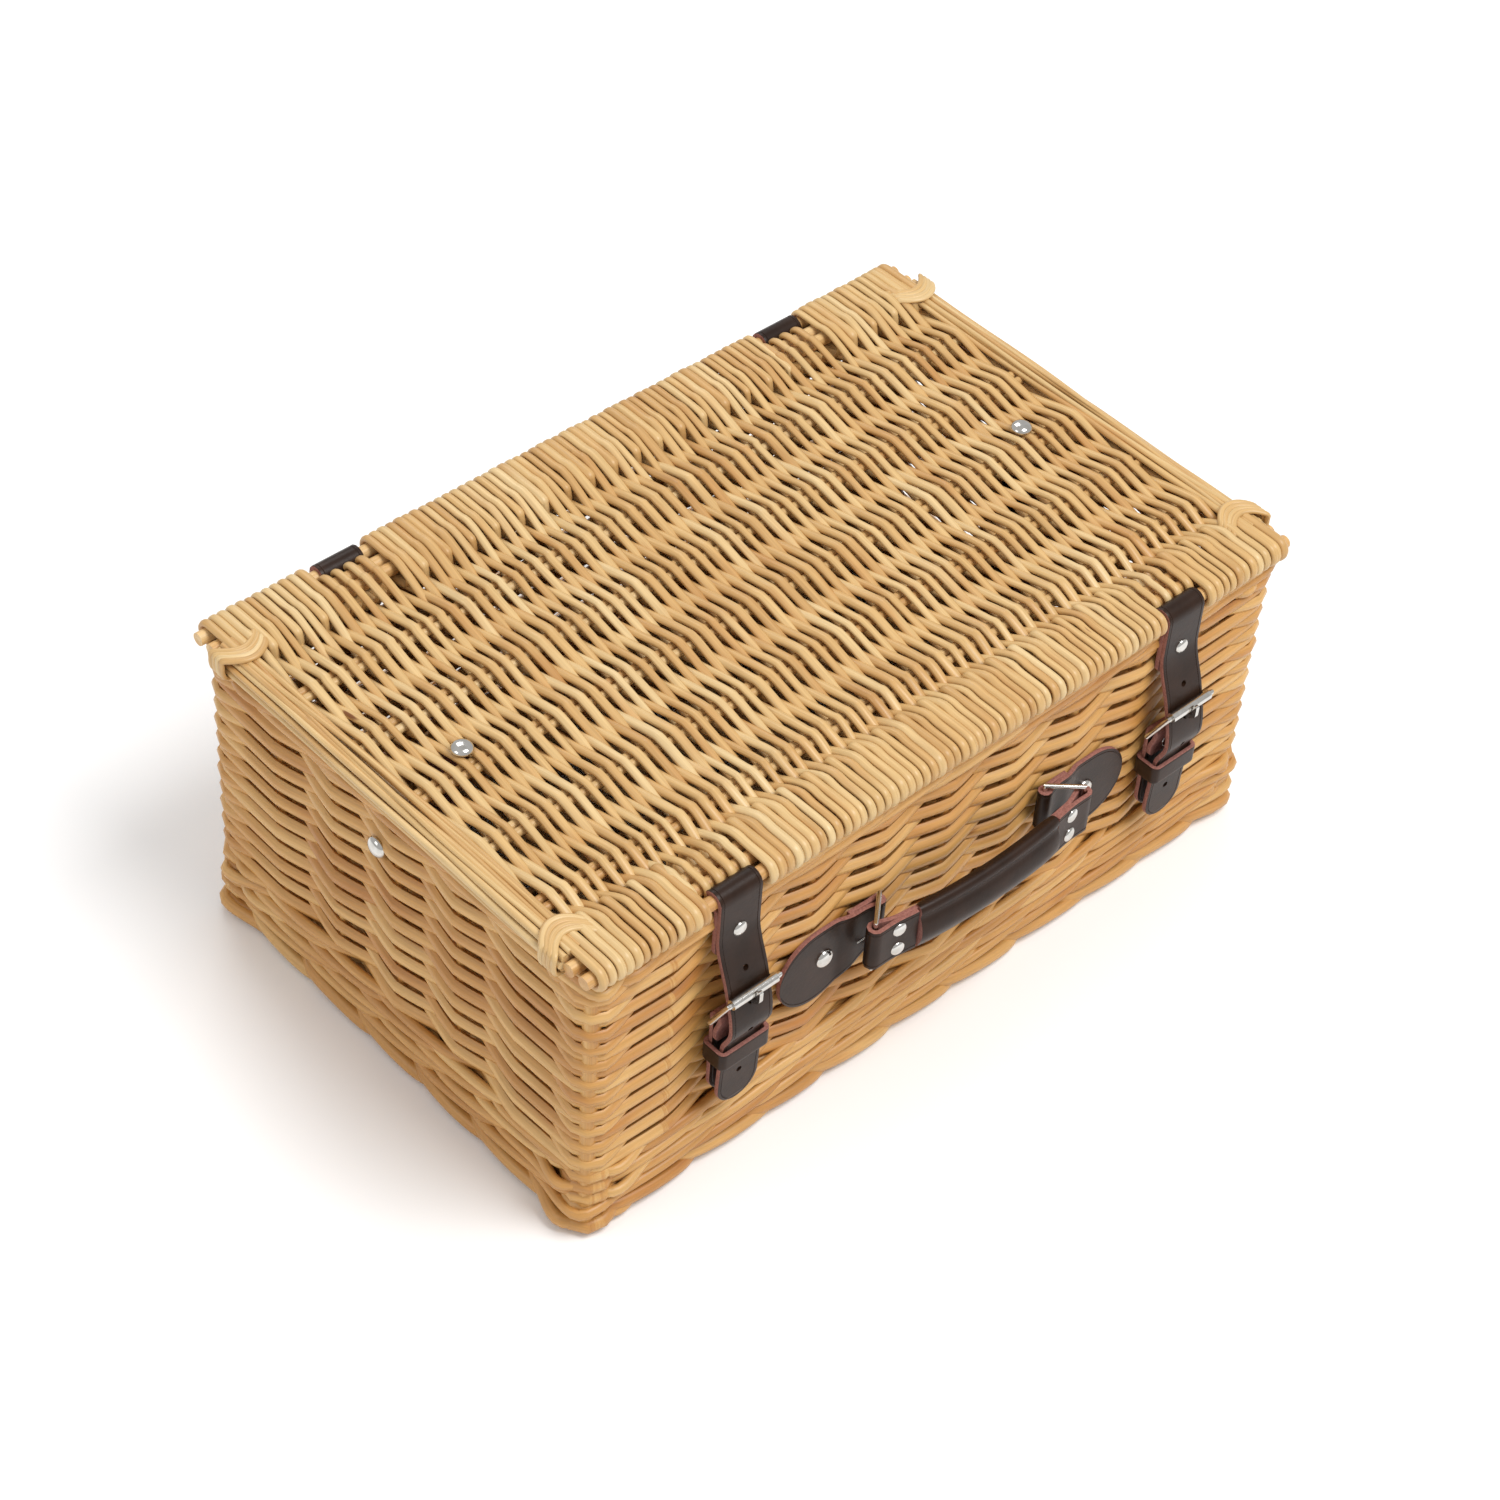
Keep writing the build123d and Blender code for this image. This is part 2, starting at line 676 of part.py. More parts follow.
# ---- handle plates, each rolled round the upright bar of a ring ----
def staple_ends(hand):
    """The two places where a staple goes through the plate."""
    x = handle_centre_x + hand * staple_offset
    return [(x - staple_width / 2, plate_flap_y, staple_z), (x + staple_width / 2, plate_flap_y, staple_z)]


for name, hand in sides.items():
    with BuildPart() as handle_plate:
        bar_x = handle_centre_x + hand * plate_bar_offset
        flap_x = handle_centre_x + hand * plate_flap_end
        low = ring_z - plate_roll_height / 2
        high = ring_z + plate_roll_height / 2
        with BuildSketch(Plane.XZ.offset(layer_0)):
            with Locations((handle_centre_x + hand * plate_round_offset, plate_round_z)):
                Circle(plate_round_radius)
            rectangle(bar_x, bar_x + hand * leather, low, high)
            make_hull()
        extrude(amount=leather)
        block(bar_x, flap_x, plate_face_y, plate_flap_y, low, high)
        with BuildSketch(Plane.XY.offset(low)):
            with Locations((bar_x, plate_bar_y)):
                Circle(plate_roll_outer)
        extrude(amount=plate_roll_height)
        with BuildSketch(Plane.XY.offset(low)):
            with Locations((bar_x, plate_bar_y)):
                Circle(plate_roll_inner)
        extrude(amount=plate_roll_height, mode=Mode.SUBTRACT)
        shank_way(plate_seat(hand))
        for x, y, z in staple_ends(hand):
            bar(along_y, staple_wire / 2 + shank_clearance, 6 * leather, x, y, z, Mode.SUBTRACT)
    export(handle_plate, f"handle_plate_{name}")

    plate_grip = -plate_face_y - wall_inner_face
    with BuildPart() as plate_stud:
        fastener(plate_seat(hand), plate_grip, stud_head_radius, stud_head_height)
        burr(plate_seat(hand), plate_grip)
    export(plate_stud, f"plate_stud_{name}")

with BuildPart() as plate_staples:
    for hand in sides.values():
        ends = [(x, y - staple_wire / 2, z) for x, y, z in staple_ends(hand)]
        rod(*ends, staple_wire / 2)
        for x, y, z in ends:
            rod((x, y, z), (x, y + 2 * leather, z), staple_wire / 2)
export(plate_staples, "plate_staples")

# ---- rings that carry the handle ----
for name, hand in sides.items():
    with BuildPart() as ring:
        plate_bar = (handle_centre_x + hand * plate_bar_offset, plate_bar_y)
        handle_bar = (handle_centre_x + hand * handle_bar_offset, handle_bar_y)
        corners = [
            (*plate_bar, ring_z - ring_rise),
            (*plate_bar, ring_z + ring_rise),
            (*handle_bar, ring_z + ring_rise),
            (*handle_bar, ring_z - ring_rise),
        ]
        wire_loop(corners, ring_radius)
    export(ring, f"ring_{name}")

# ---- handle ----
flap_start = grip_half_length + flap_to_grip_gap

with BuildPart() as handle_strap:
    with BuildSketch(Plane.XY.offset(ring_z - handle_strap_height / 2)):
        handle_band(0, leather)
        rectangle(handle_centre_x - flap_start, handle_centre_x + flap_start, handle_bar_y - 2 * handle_bow,
                  handle_bar_y, Mode.SUBTRACT)
        handle_band(-leather, 0)
        for hand in sides.values():
            with Locations((handle_centre_x + hand * handle_bar_offset, handle_bar_y)):
                Circle(handle_loop_outer)
                Circle(handle_loop_inner, mode=Mode.SUBTRACT)
    extrude(amount=handle_strap_height)
    for offset_x in (-handle_rivet_offset, handle_rivet_offset):
        for rise in (-handle_rivet_rise, handle_rivet_rise):
            shank_way(handle_seat(offset_x, ring_z + rise))
export(handle_strap, "handle_strap")

with BuildPart() as handle_grip:
    with BuildSketch(Plane.XY.offset(ring_z - grip_height / 2)):
        handle_band(-leather / 2 - grip_thickness / 2, -leather / 2 + grip_thickness / 2)
        rectangle(handle_centre_x - grip_half_length, handle_centre_x + grip_half_length,
                  handle_bar_y - 4 * handle_bow, handle_bar_y + 4 * handle_bow, Mode.INTERSECT)
    extrude(amount=grip_height)
    by_length = handle_grip.edges().group_by(SortBy.LENGTH)
    fillet(by_length[-1] + by_length[-2], radius=grip_round)
    with BuildSketch(Plane.XY.offset(ring_z - handle_strap_height / 2 - stake_fit)):
        handle_band(-leather - stake_fit, stake_fit)
    extrude(amount=handle_strap_height + 2 * stake_fit, mode=Mode.SUBTRACT)
export(handle_grip, "handle_grip")

with BuildPart() as handle_rivets:
    for offset_x in (-handle_rivet_offset, handle_rivet_offset):
        for rise in (-handle_rivet_rise, handle_rivet_rise):
            seat = handle_seat(offset_x, ring_z + rise)
            fastener(seat, 2 * leather + stake_fit)
            burr(seat, 2 * leather + stake_fit)
export(handle_rivets, "handle_rivets")

# ---- wall studs and the leather stays that hold the open lid ----
wall_stud_grip = wall_thickness + leather_gap + stay_thickness
for name, hand in sides.items():
    with BuildPart() as wall_stud:
        fastener(wall_seat(hand), wall_stud_grip, stud_head_radius, stud_head_height)
        burr(wall_seat(hand), wall_stud_grip)
    export(wall_stud, f"wall_stud_{name}")

    with BuildPart() as stay:
        route = [
            (hand * (lid_stud_x - stay_lid_end), stay_top_z),
            (hand * stay_fold_x, stay_top_z),
            (hand * stay_fold_x, stay_drop_z),
            (hand * stay_wall_x, stay_drop_z),
            (hand * stay_wall_x, wall_stud_z + stay_wall_top),
        ]
        with BuildSketch(Plane.XZ.offset(-stay_y)):
            with BuildLine():
                FilletPolyline(*route, radius=stay_bend_radius)
                offset(amount=stay_thickness, side=Side.RIGHT if hand > 0 else Side.LEFT)
            make_face()
        extrude(amount=stay_width / 2, both=True)
        shank_way(lid_seat(hand))
        shank_way(wall_seat(hand))
    export(stay, f"stay_{name}")
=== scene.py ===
import json
import math
import random

import bpy
import numpy as np
from mathutils import Matrix, Vector


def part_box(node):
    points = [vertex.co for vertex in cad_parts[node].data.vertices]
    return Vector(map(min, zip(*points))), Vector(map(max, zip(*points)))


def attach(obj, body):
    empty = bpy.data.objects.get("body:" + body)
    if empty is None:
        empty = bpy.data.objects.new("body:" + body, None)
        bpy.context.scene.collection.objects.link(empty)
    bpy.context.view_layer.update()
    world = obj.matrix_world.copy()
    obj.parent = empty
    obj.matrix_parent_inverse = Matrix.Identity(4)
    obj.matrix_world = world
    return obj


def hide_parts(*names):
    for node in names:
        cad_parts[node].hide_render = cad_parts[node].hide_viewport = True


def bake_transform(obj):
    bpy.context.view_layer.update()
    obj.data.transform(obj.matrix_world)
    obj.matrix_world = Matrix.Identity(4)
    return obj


# The woven hamper's looks. Lengths are in millimetres until a mesh is made, then metres.
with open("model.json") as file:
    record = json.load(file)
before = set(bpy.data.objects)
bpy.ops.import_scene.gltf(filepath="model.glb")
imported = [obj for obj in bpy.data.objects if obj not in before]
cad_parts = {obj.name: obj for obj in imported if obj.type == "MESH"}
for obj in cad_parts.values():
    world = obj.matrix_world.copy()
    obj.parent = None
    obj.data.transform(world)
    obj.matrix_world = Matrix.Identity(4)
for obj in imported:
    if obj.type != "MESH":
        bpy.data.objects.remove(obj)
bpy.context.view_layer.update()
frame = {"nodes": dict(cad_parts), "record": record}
MM = 0.001
random.seed(7)

# ---- places and sizes from the frame ----
SIDES = {"left": -1, "right": 1}


def node_box(node):
    """A CAD node's lowest and highest corners in millimetres."""
    low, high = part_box(node)
    return np.array(low) / MM, np.array(high) / MM


def middle(node):
    low, high = node_box(node)
    return (low + high) / 2


JOINTS = {joint["name"]: joint for joint in frame["record"]["behaviour"]["joints"]}


def pivot(joint):
    return np.array(JOINTS[joint]["pos_m"]) / MM


lid_low, lid_high = node_box("lid_weave")
LID_MID = (lid_low[2] + lid_high[2]) / 2
OUTER_STICK = -middle("lid_front_stick")[1]
stick_low, stick_high = node_box("lid_front_stick")
STICK_RADIUS = (stick_high[2] - stick_low[2]) / 2
inner_low, inner_high = node_box("lid_front_inner_sticks")
MIDDLE_STICK = -inner_low[1] - STICK_RADIUS
INNER_STICK = -inner_high[1] - STICK_RADIUS
stakes_low, stakes_high = node_box("lid_stakes")
LID_STAKE_RADIUS = (stakes_high[2] - stakes_low[2]) / 2
LID_GROUPS = 5
LID_GROUP_FIRST = stakes_low[1] + 2 * LID_STAKE_RADIUS
LID_GROUP_PITCH = (stakes_high[1] - stakes_low[1] - 4 * LID_STAKE_RADIUS) / (LID_GROUPS - 1)
END_BORDER_IN = node_box("lid_end_border_right")[0][0]
WEAVE_HALF = END_BORDER_IN - 0.5
STRAP_X = {name: middle(f"strap_{name}")[0] for name in SIDES}
HINGE_X = {name: middle(f"hinge_loop_{name}")[0] for name in SIDES}
STRAP_WIDTH = node_box("strap_left")[1][0] - node_box("strap_left")[0][0]
WALL_X = (node_box("wall_right_weave")[0][0] + node_box("wall_right_weave")[1][0]) / 2
WALL_Y = (node_box("wall_back_weave")[0][1] + node_box("wall_back_weave")[1][1]) / 2
RIM_LOW = node_box("rim_border")[0][2]
RIM_TOP = node_box("rim_border")[1][2]
BASE_MID = middle("base_weave")[2]


# ---- meshes ----
def smooth_path(points, steps, closed=False):
    """Points along a Catmull-Rom curve through the given ones."""
    points = np.asarray(points, dtype=float)
    if closed:
        before, after, after2 = (np.roll(points, shift, axis=0) for shift in (1, -1, -2))
        start = points
    else:
        start = points[:-1]
        after = points[1:]
        before = np.vstack([2 * points[0] - points[1], points[:-2]])
        after2 = np.vstack([points[2:], 2 * points[-1] - points[-2]])
    out = []
    for step in range(steps):
        t = step / steps
        out.append(
            0.5
            * (
                2 * start
                + (after - before) * t
                + (2 * before - 5 * start + 4 * after - after2) * t**2
                + (3 * start - before - 3 * after + after2) * t**3
            )
        )
    path = np.stack(out, axis=1).reshape(-1, points.shape[1])
    return path if closed else np.vstack([path, points[-1]])


def tube_faces(rings, sides, closed=False, first=0):
    """Faces round a tube made of rings of points, with a cap on each end unless it is closed."""
    a = np.arange(rings - (0 if closed else 1))[:, None]
    b = np.arange(sides)[None, :]
    a2 = (a + 1) % rings
    b2 = (b + 1) % sides
    quads = np.stack([a * sides + b, a * sides + b2, a2 * sides + b2, a2 * sides + b], axis=-1)
    faces = (first + quads.reshape(-1, 4)).tolist()
    if not closed:
        end = first + (rings - 1) * sides
        faces.append([first + k for k in reversed(range(sides))])
        faces.append([end + k for k in range(sides)])
    return faces


def make_piece(name, verts, faces, materials, slots=None, angle=50):
    """A smooth object made of points in millimetres, with sharp edges above an angle."""
    mesh = bpy.data.meshes.new(name)
    mesh.from_pydata((np.asarray(verts, dtype=float) * MM).tolist(), [], faces)
    for material in materials:
        mesh.materials.append(material)
    if slots:
        mesh.polygons.foreach_set("material_index", slots)
    mesh.validate()
    mesh.shade_smooth()
    mesh.set_sharp_from_angle(angle=math.radians(angle))
    piece = bpy.data.objects.new(name, mesh)
    bpy.context.scene.collection.objects.link(piece)
    return piece


SHADE_SHIFT = 997  # how far apart two rods' stretches of grain lie, for a shade of 0 and of 1


class Bundle:
    """Rods that are gathered into one mesh."""

    def __init__(self, sides=8):
        self.sides = sides
        self.verts = []
        self.faces = []
        self.marks = []
        self.count = 0

    def add(self, path, radius, wide=(0, 0, 1), squash=0.8, closed=False):
        """One rod. It is widest along the wide direction. Its radius may be one value or one a point."""
        path = np.asarray(path, dtype=float)
        number = len(path)
        if closed:
            run = np.roll(path, -1, axis=0) - np.roll(path, 1, axis=0)
        else:
            run = np.gradient(path, axis=0)
        run /= np.linalg.norm(run, axis=1)[:, None]
        wide = np.broadcast_to(np.asarray(wide, dtype=float), path.shape)
        across = wide - (wide * run).sum(1)[:, None] * run
        across /= np.linalg.norm(across, axis=1)[:, None]
        out = np.cross(run, across)
        size = np.broadcast_to(radius, (number,)).astype(float)[:, None, None]
        turn = np.arange(self.sides) * 2 * math.pi / self.sides
        ring = (
            path[:, None, :]
            + size * np.cos(turn)[None, :, None] * across[:, None, :]
            + size * squash * np.sin(turn)[None, :, None] * out[:, None, :]
        )
        along = np.concatenate([[0], np.cumsum(np.linalg.norm(np.diff(path, axis=0), axis=1))])
        shade = random.random()
        marks = np.zeros((number, self.sides, 3))
        marks[:, :, 0] = along[:, None] + SHADE_SHIFT * shade
        marks[:, :, 1] = np.sin(turn / 2)[None, :]
        marks[:, :, 2] = shade
        self.verts.append(ring.reshape(-1, 3))
        self.marks.append(marks.reshape(-1, 3))
        self.faces += tube_faces(number, self.sides, closed, self.count)
        self.count += number * self.sides

    def build(self, name, material, body, replaces=()):
        piece = make_piece(name, np.vstack(self.verts), self.faces, [material])
        mark = piece.data.attributes.new("rod", "FLOAT_VECTOR", "POINT")
        mark.data.foreach_set("vector", np.vstack(self.marks).ravel())
        declare(piece, body, replaces)


def declare(piece, body, replaces=()):
    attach(piece, body)
    if replaces:
        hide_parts(*replaces)


# ---- materials ----
class Shader:
    """A node material with short calls for what this object needs."""

    def __init__(self, name, roughness, metallic=0.0, coat=0.0):
        self.material = bpy.data.materials.new(name)
        self.material.use_nodes = True
        self.tree = self.material.node_tree
        self.surface = self.tree.nodes["Principled BSDF"]
        self.surface.inputs["Roughness"].default_value = roughness
        self.surface.inputs["Metallic"].default_value = metallic
        self.surface.inputs["Coat Weight"].default_value = coat

    def node(self, kind, **values):
        made = self.tree.nodes.new(kind)
        for key, value in values.items():
            setattr(made, key, value)
        return made

    def link(self, a, b):
        self.tree.links.new(a, b)

    def noise(self, vector, scale, detail=3.0, rough=0.55):
        made = self.node("ShaderNodeTexNoise")
        made.inputs["Scale"].default_value = scale
        made.inputs["Detail"].default_value = detail
        made.inputs["Roughness"].default_value = rough
        self.link(vector, made.inputs["Vector"])
        return made.outputs["Fac"]

    def stretch(self, vector, scale):
        made = self.node("ShaderNodeVectorMath", operation="MULTIPLY")
        made.inputs[1].default_value = scale
        self.link(vector, made.inputs[0])
        return made.outputs[0]

    def ramp(self, value, stops):
        made = self.node("ShaderNodeValToRGB")
        ramp = made.color_ramp
        while len(ramp.elements) < len(stops):
            ramp.elements.new(0.5)
        for element, (place, colour) in zip(ramp.elements, stops):
            element.position = place
            element.color = (*colour, 1)
        self.link(value, made.inputs[0])
        return made.outputs[0]

    def mix(self, factor, a, b, blend="MIX"):
        made = self.node("ShaderNodeMix", data_type="RGBA", blend_type=blend)
        for value, socket in ((factor, made.inputs[0]), (a, made.inputs[6]), (b, made.inputs[7])):
            if isinstance(value, (int, float)):
                socket.default_value = value
            elif isinstance(value, tuple):
                socket.default_value = (*value, 1)
            else:
                self.link(value, socket)
        return made.outputs[2]

    def bump(self, height, distance, strength=1.0, normal=None):
        made = self.node("ShaderNodeBump")
        made.inputs["Distance"].default_value = distance
        made.inputs["Strength"].default_value = strength
        self.link(height, made.inputs["Height"])
        if normal:
            self.link(normal, made.inputs["Normal"])
        return made.outputs[0]

    def colour(self, value):
        self.link(value, self.surface.inputs["Base Color"])

    def normal(self, value):
        self.link(value, self.surface.inputs["Normal"])


def willow(name, grain=None, painted_light_tint=(1.0, 1.0, 1.0)):
    """Peeled willow. The grain runs along each rod, or along the given stretch of the object."""
    shader = Shader(name, 0.42, coat=0.12)
    shader.surface.inputs["Coat Roughness"].default_value = 0.35
    if grain is None:
        mark = shader.node("ShaderNodeAttribute", attribute_name="rod").outputs["Vector"]
        streaks = shader.stretch(mark, (0.035, 7.0, 61.0))
        blotches = shader.stretch(mark, (0.016, 0.6, 37.0))
        dots = shader.stretch(mark, (0.030, 1.3, 83.0))
        tone = shader.noise(shader.stretch(mark, (0.0025, 0.0, 91.0)), 1.0, detail=1.0)
    else:
        place = shader.node("ShaderNodeTexCoord").outputs["Object"]
        streaks = shader.stretch(place, tuple(35.0 if axis else 1500.0 for axis in grain))
        blotches = shader.stretch(place, tuple(12.0 if axis else 60.0 for axis in grain))
        dots = shader.stretch(place, tuple(30.0 if axis else 200.0 for axis in grain))
        tone = shader.noise(shader.stretch(place, tuple(4.0 if axis else 90.0 for axis in grain)), 1.0)
    base = shader.ramp(
        tone,
        [
            (0.36, (0.560, 0.312, 0.108)),
            (0.46, (0.622, 0.370, 0.138)),
            (0.54, (0.665, 0.425, 0.176)),
            (0.66, (0.720, 0.500, 0.240)),
        ],
    )
    fibre = shader.noise(streaks, 1.0, detail=4.0, rough=0.6)
    pale = shader.ramp(fibre, [(0.30, (0.74, 0.70, 0.64)), (0.62, (1.10, 1.08, 1.05))])
    base = shader.mix(0.55, base, pale, "MULTIPLY")
    patch = shader.noise(blotches, 1.0, detail=2.0)
    warm = shader.ramp(patch, [(0.52, (1.0, 1.0, 1.0)), (0.74, (0.80, 0.62, 0.44))])
    base = shader.mix(0.75, base, warm, "MULTIPLY")
    knot = shader.noise(dots, 1.0, detail=2.0)
    dark = shader.ramp(knot, [(0.735, (1.0, 1.0, 1.0)), (0.80, (0.32, 0.17, 0.09))])
    base = shader.mix(1.0, base, dark, "MULTIPLY")
    # painted light and shade: this tint multiplies the whole colour, making one willow into a lit copy
    # and a shaded copy
    shader.colour(shader.mix(1.0, base, painted_light_tint, "MULTIPLY"))
    shader.normal(shader.bump(fibre, 0.00018, 0.6))
    return shader.material


def leather(name, base, light, gloss):
    """Smooth dark saddle leather with a fine grain."""
    shader = Shader(name, gloss)
    shader.surface.inputs["Specular IOR Level"].default_value = 0.20
    place = shader.node("ShaderNodeTexCoord").outputs["Object"]
    cloudy = shader.noise(place, 60.0, detail=4.0)
    shader.colour(shader.ramp(cloudy, [(0.35, base), (0.68, light)]))
    pores = shader.node("ShaderNodeTexVoronoi", feature="DISTANCE_TO_EDGE")
    pores.inputs["Scale"].default_value = 1300.0
    shader.link(place, pores.inputs["Vector"])
    creases = shader.noise(place, 420.0, detail=5.0)
    first = shader.bump(pores.outputs["Distance"], 0.00012, 0.25)
    shader.normal(shader.bump(creases, 0.0003, 0.22, first))
    return shader.material


def cut_leather(name):
    """The pink-brown flesh side and cut edges of the leather."""
    shader = Shader(name, 0.85)
    place = shader.node("ShaderNodeTexCoord").outputs["Object"]
    fibres = shader.noise(place, 900.0, detail=5.0, rough=0.7)
    shader.colour(shader.ramp(fibres, [(0.30, (0.200, 0.072, 0.055)), (0.70, (0.400, 0.175, 0.140))]))
    shader.normal(shader.bump(fibres, 0.0006, 0.7))
    return shader.material


def nickel(name, roughness):
    shader = Shader(name, roughness, metallic=1.0)
    place = shader.node("ShaderNodeTexCoord").outputs["Object"]
    haze = shader.noise(place, 300.0, detail=4.0)
    shader.colour(shader.ramp(haze, [(0.3, (0.56, 0.54, 0.50)), (0.7, (0.70, 0.68, 0.65))]))
    shader.normal(shader.bump(haze, 0.00005, 0.3))
    return shader.material


# Painted shade: the walls' rods, stakes and posts are multiplied darker and warmer than the lid's, for
# walls that get less light than the top.
WALL_PAINTED_SHADE = (0.88, 0.76, 0.56)
# Painted sheen: the lid's rods, and the base rods, are multiplied a little paler and cooler, for the
# light from above on the lid's top.
WILLOW = willow("willow_rods", painted_light_tint=(0.95, 1.0, 1.06))
WALL_WILLOW = willow("willow_rods_painted_shade", painted_light_tint=WALL_PAINTED_SHADE)
WILLOW_X = willow("willow_along_x", (1, 0, 0))
WILLOW_Z = willow("willow_upright", (0, 0, 1), WALL_PAINTED_SHADE)
GRAIN = leather("leather_grain", (0.0175, 0.0082, 0.0046), (0.0320, 0.0148, 0.0085), 0.36)
FLESH = cut_leather("leather_edge")
NICKEL = nickel("polished_nickel", 0.13)


# ---- woven lid ----
ROD_WIDE = 2.5
ROD_SQUASH = 0.74
over_stake = LID_STAKE_RADIUS + ROD_WIDE * ROD_SQUASH - 0.2
over_stick = STICK_RADIUS + ROD_WIDE * ROD_SQUASH + 0.1
WEAVERS = 114
WEAVER_PITCH = 2 * WEAVE_HALF / WEAVERS
WRAP_CYCLE = 4  # of each four weavers, three are wrapped round the sticks and one is cut off there
WRAP_PITCH = WEAVER_PITCH * WRAP_CYCLE / (WRAP_CYCLE - 1)
SIDE_STEP = 0.5
FLOAT_HALF = 3.6
CORNER_WRAPS = 2
LID_MESHES = 3
group_y = [LID_GROUP_FIRST + k * LID_GROUP_PITCH for k in range(LID_GROUPS)]


def in_notch(x, end):
    """Whether a rod at x would cross a strap (front) or a hinge loop (back)."""
    places = STRAP_X if end < 0 else HINGE_X
    return any(abs(x - place) < STRAP_WIDTH / 2 + ROD_WIDE + 0.5 for place in places.values())


ARCH = 1.02  # how high a rod stands midway between the sticks, as a share of its height on them
SHOULDER = (0.72, 0.70)  # where it turns down past the outer stick: shares of its reach and height
TUCK = ((2.5, -0.9), (5.0, -0.45), (6.0, 0.35))  # its hidden end: inwards of the inner stick, height


def wrap(end, x, outer, first):
    """Points (x, y, level) of a turn round the frame sticks, from the weave out, round and back.

    first is 1 where the weaver leaves over the top of the sticks and comes back under them.
    """
    level = first * over_stick
    between = (INNER_STICK + outer) / 2
    shoulder = outer + over_stick * SHOULDER[0]
    route = [
        (INNER_STICK + 1, 1.0),
        (between, ARCH),
        (outer, 1.0),
        (shoulder, SHOULDER[1]),
        (outer + over_stick, 0.0),
        (shoulder, -SHOULDER[1]),
        (outer, -1.0),
        (between, -ARCH),
    ]
    route += [(INNER_STICK - inwards, height) for inwards, height in TUCK]
    return [(x, end * y, level * height) for y, height in route]


def weaver_path(i):
    """The control points of one weaver, from the front edge to the back."""
    x = -WEAVE_HALF + (i + 0.5) * WEAVER_PITCH
    jitter = random.uniform(-0.5, 0.5)
    points = []
    for k, y in enumerate(group_y):
        rise = 1 if (i + k) % 2 else -1
        shift = rise * SIDE_STEP + jitter + random.uniform(-0.45, 0.45)
        level = rise * (over_stake + random.uniform(-0.25, 0.25))
        lean = random.uniform(-0.4, 0.4)
        points.append((x + shift - lean, y - FLOAT_HALF, level))
        points.append((x + shift + lean, y + FLOAT_HALF, level))
        if k + 1 < LID_GROUPS:
            points.append((x + jitter, y + LID_GROUP_PITCH / 2, random.uniform(-0.3, 0.3)))
    place = i % WRAP_CYCLE
    wrapped = place != WRAP_CYCLE - 1
    wrap_x = -WEAVE_HALF + ((WRAP_CYCLE - 1) * (i // WRAP_CYCLE) + place + 0.5) * WRAP_PITCH
    first = 1 if i % 2 == 0 else -1
    ends = []
    for end in (-1, 1):
        notch = in_notch(wrap_x if wrapped else x, end)
        if not wrapped or (notch and first < 0):
            under = first * over_stick
            tail = [(x, end * (INNER_STICK + 1), under), (x, end * MIDDLE_STICK, under * ARCH)]
        else:
            outer = MIDDLE_STICK if notch else OUTER_STICK
            wobble = random.uniform(-0.35, 0.35)
            tail = wrap(end, (x if notch else wrap_x) + wobble, outer, first)
        ends.append(tail)
    points = list(reversed(ends[0])) + points + ends[1]
    return [(px, py, LID_MID + pz) for px, py, pz in points]


def build_lid():
    for part in range(LID_MESHES):
        bundle = Bundle(10)
        for i in range(part * WEAVERS // LID_MESHES, (part + 1) * WEAVERS // LID_MESHES):
            path = smooth_path(weaver_path(i), 4)
            size = ROD_WIDE * random.uniform(0.80, 1.10)
            taper = np.linspace(random.uniform(0.9, 1.06), random.uniform(0.9, 1.06), len(path))
            bundle.add(path, size * taper, wide=(1, 0, 0), squash=ROD_SQUASH)
        nodes = ("lid_weave",) if part == 1 else ()
        bundle.build(f"lid_weavers_{part + 1}", WILLOW, "lid", nodes)

    corners = Bundle(10)
    for end in (-1, 1):
        for side in (-1, 1):
            for k in range(CORNER_WRAPS):
                x = side * (WEAVE_HALF + (k + 0.5) * WRAP_PITCH)
                path = smooth_path([(a, b, LID_MID + c) for a, b, c in wrap(end, x, OUTER_STICK, 1)], 4)
                corners.add(path, ROD_WIDE * random.uniform(0.9, 1.05), wide=(1, 0, 0), squash=ROD_SQUASH)
    corners.build("lid_corner_wraps", WILLOW, "lid")

    stakes = Bundle(10)
    reach = END_BORDER_IN + 1
    xs = np.linspace(-reach, reach, 40)
    for y in group_y:
        for place in (-1, 1):
            wave = 0.35 * np.sin(xs / 31 + random.uniform(0, 6))
            path = np.stack([xs, y + place * LID_STAKE_RADIUS + wave, np.full(len(xs), LID_MID)], axis=1)
            stakes.add(smooth_path(path, 2), LID_STAKE_RADIUS, wide=(0, 1, 0), squash=0.95)
    stakes.build("lid_stake_rods", WILLOW, "lid", ("lid_stakes",))


# ---- lid ends ----
END_RODS = (
    # across at the front and at the back, level, radius, bow
    (1.2, 3.0, 3.2, 2.0, 0.7),
    (5.2, 3.8, 4.4, 1.9, -0.8),
    (7.8, 9.4, 4.0, 2.2, 0.6),
    (12.6, 10.8, 3.0, 2.1, 0.5),
    (3.0, 7.2, 5.4, 1.6, -1.3),
    (10.4, 6.0, 5.2, 1.5, 1.2),
    (14.0, 13.6, 0.0, 2.1, 0.4),
    (13.4, 13.8, -3.2, 1.9, -0.5),
    (2.0, 2.6, -2.6, 2.1, 0.4),
    (6.4, 5.8, -3.9, 2.1, -0.4),
    (10.2, 10.6, -3.7, 2.1, 0.5),
)
BINDING_STRANDS = 4
STRAND_WIDE = 1.75
STRAND_SQUASH = 0.7
STRAND_PITCH = 2.8
BINDING_ARCH = 8.0
BINDING_OUT = 231.3
BINDING_IN = 206.5
BINDING_TOP = 7.0
BINDING_DROP = 1.6
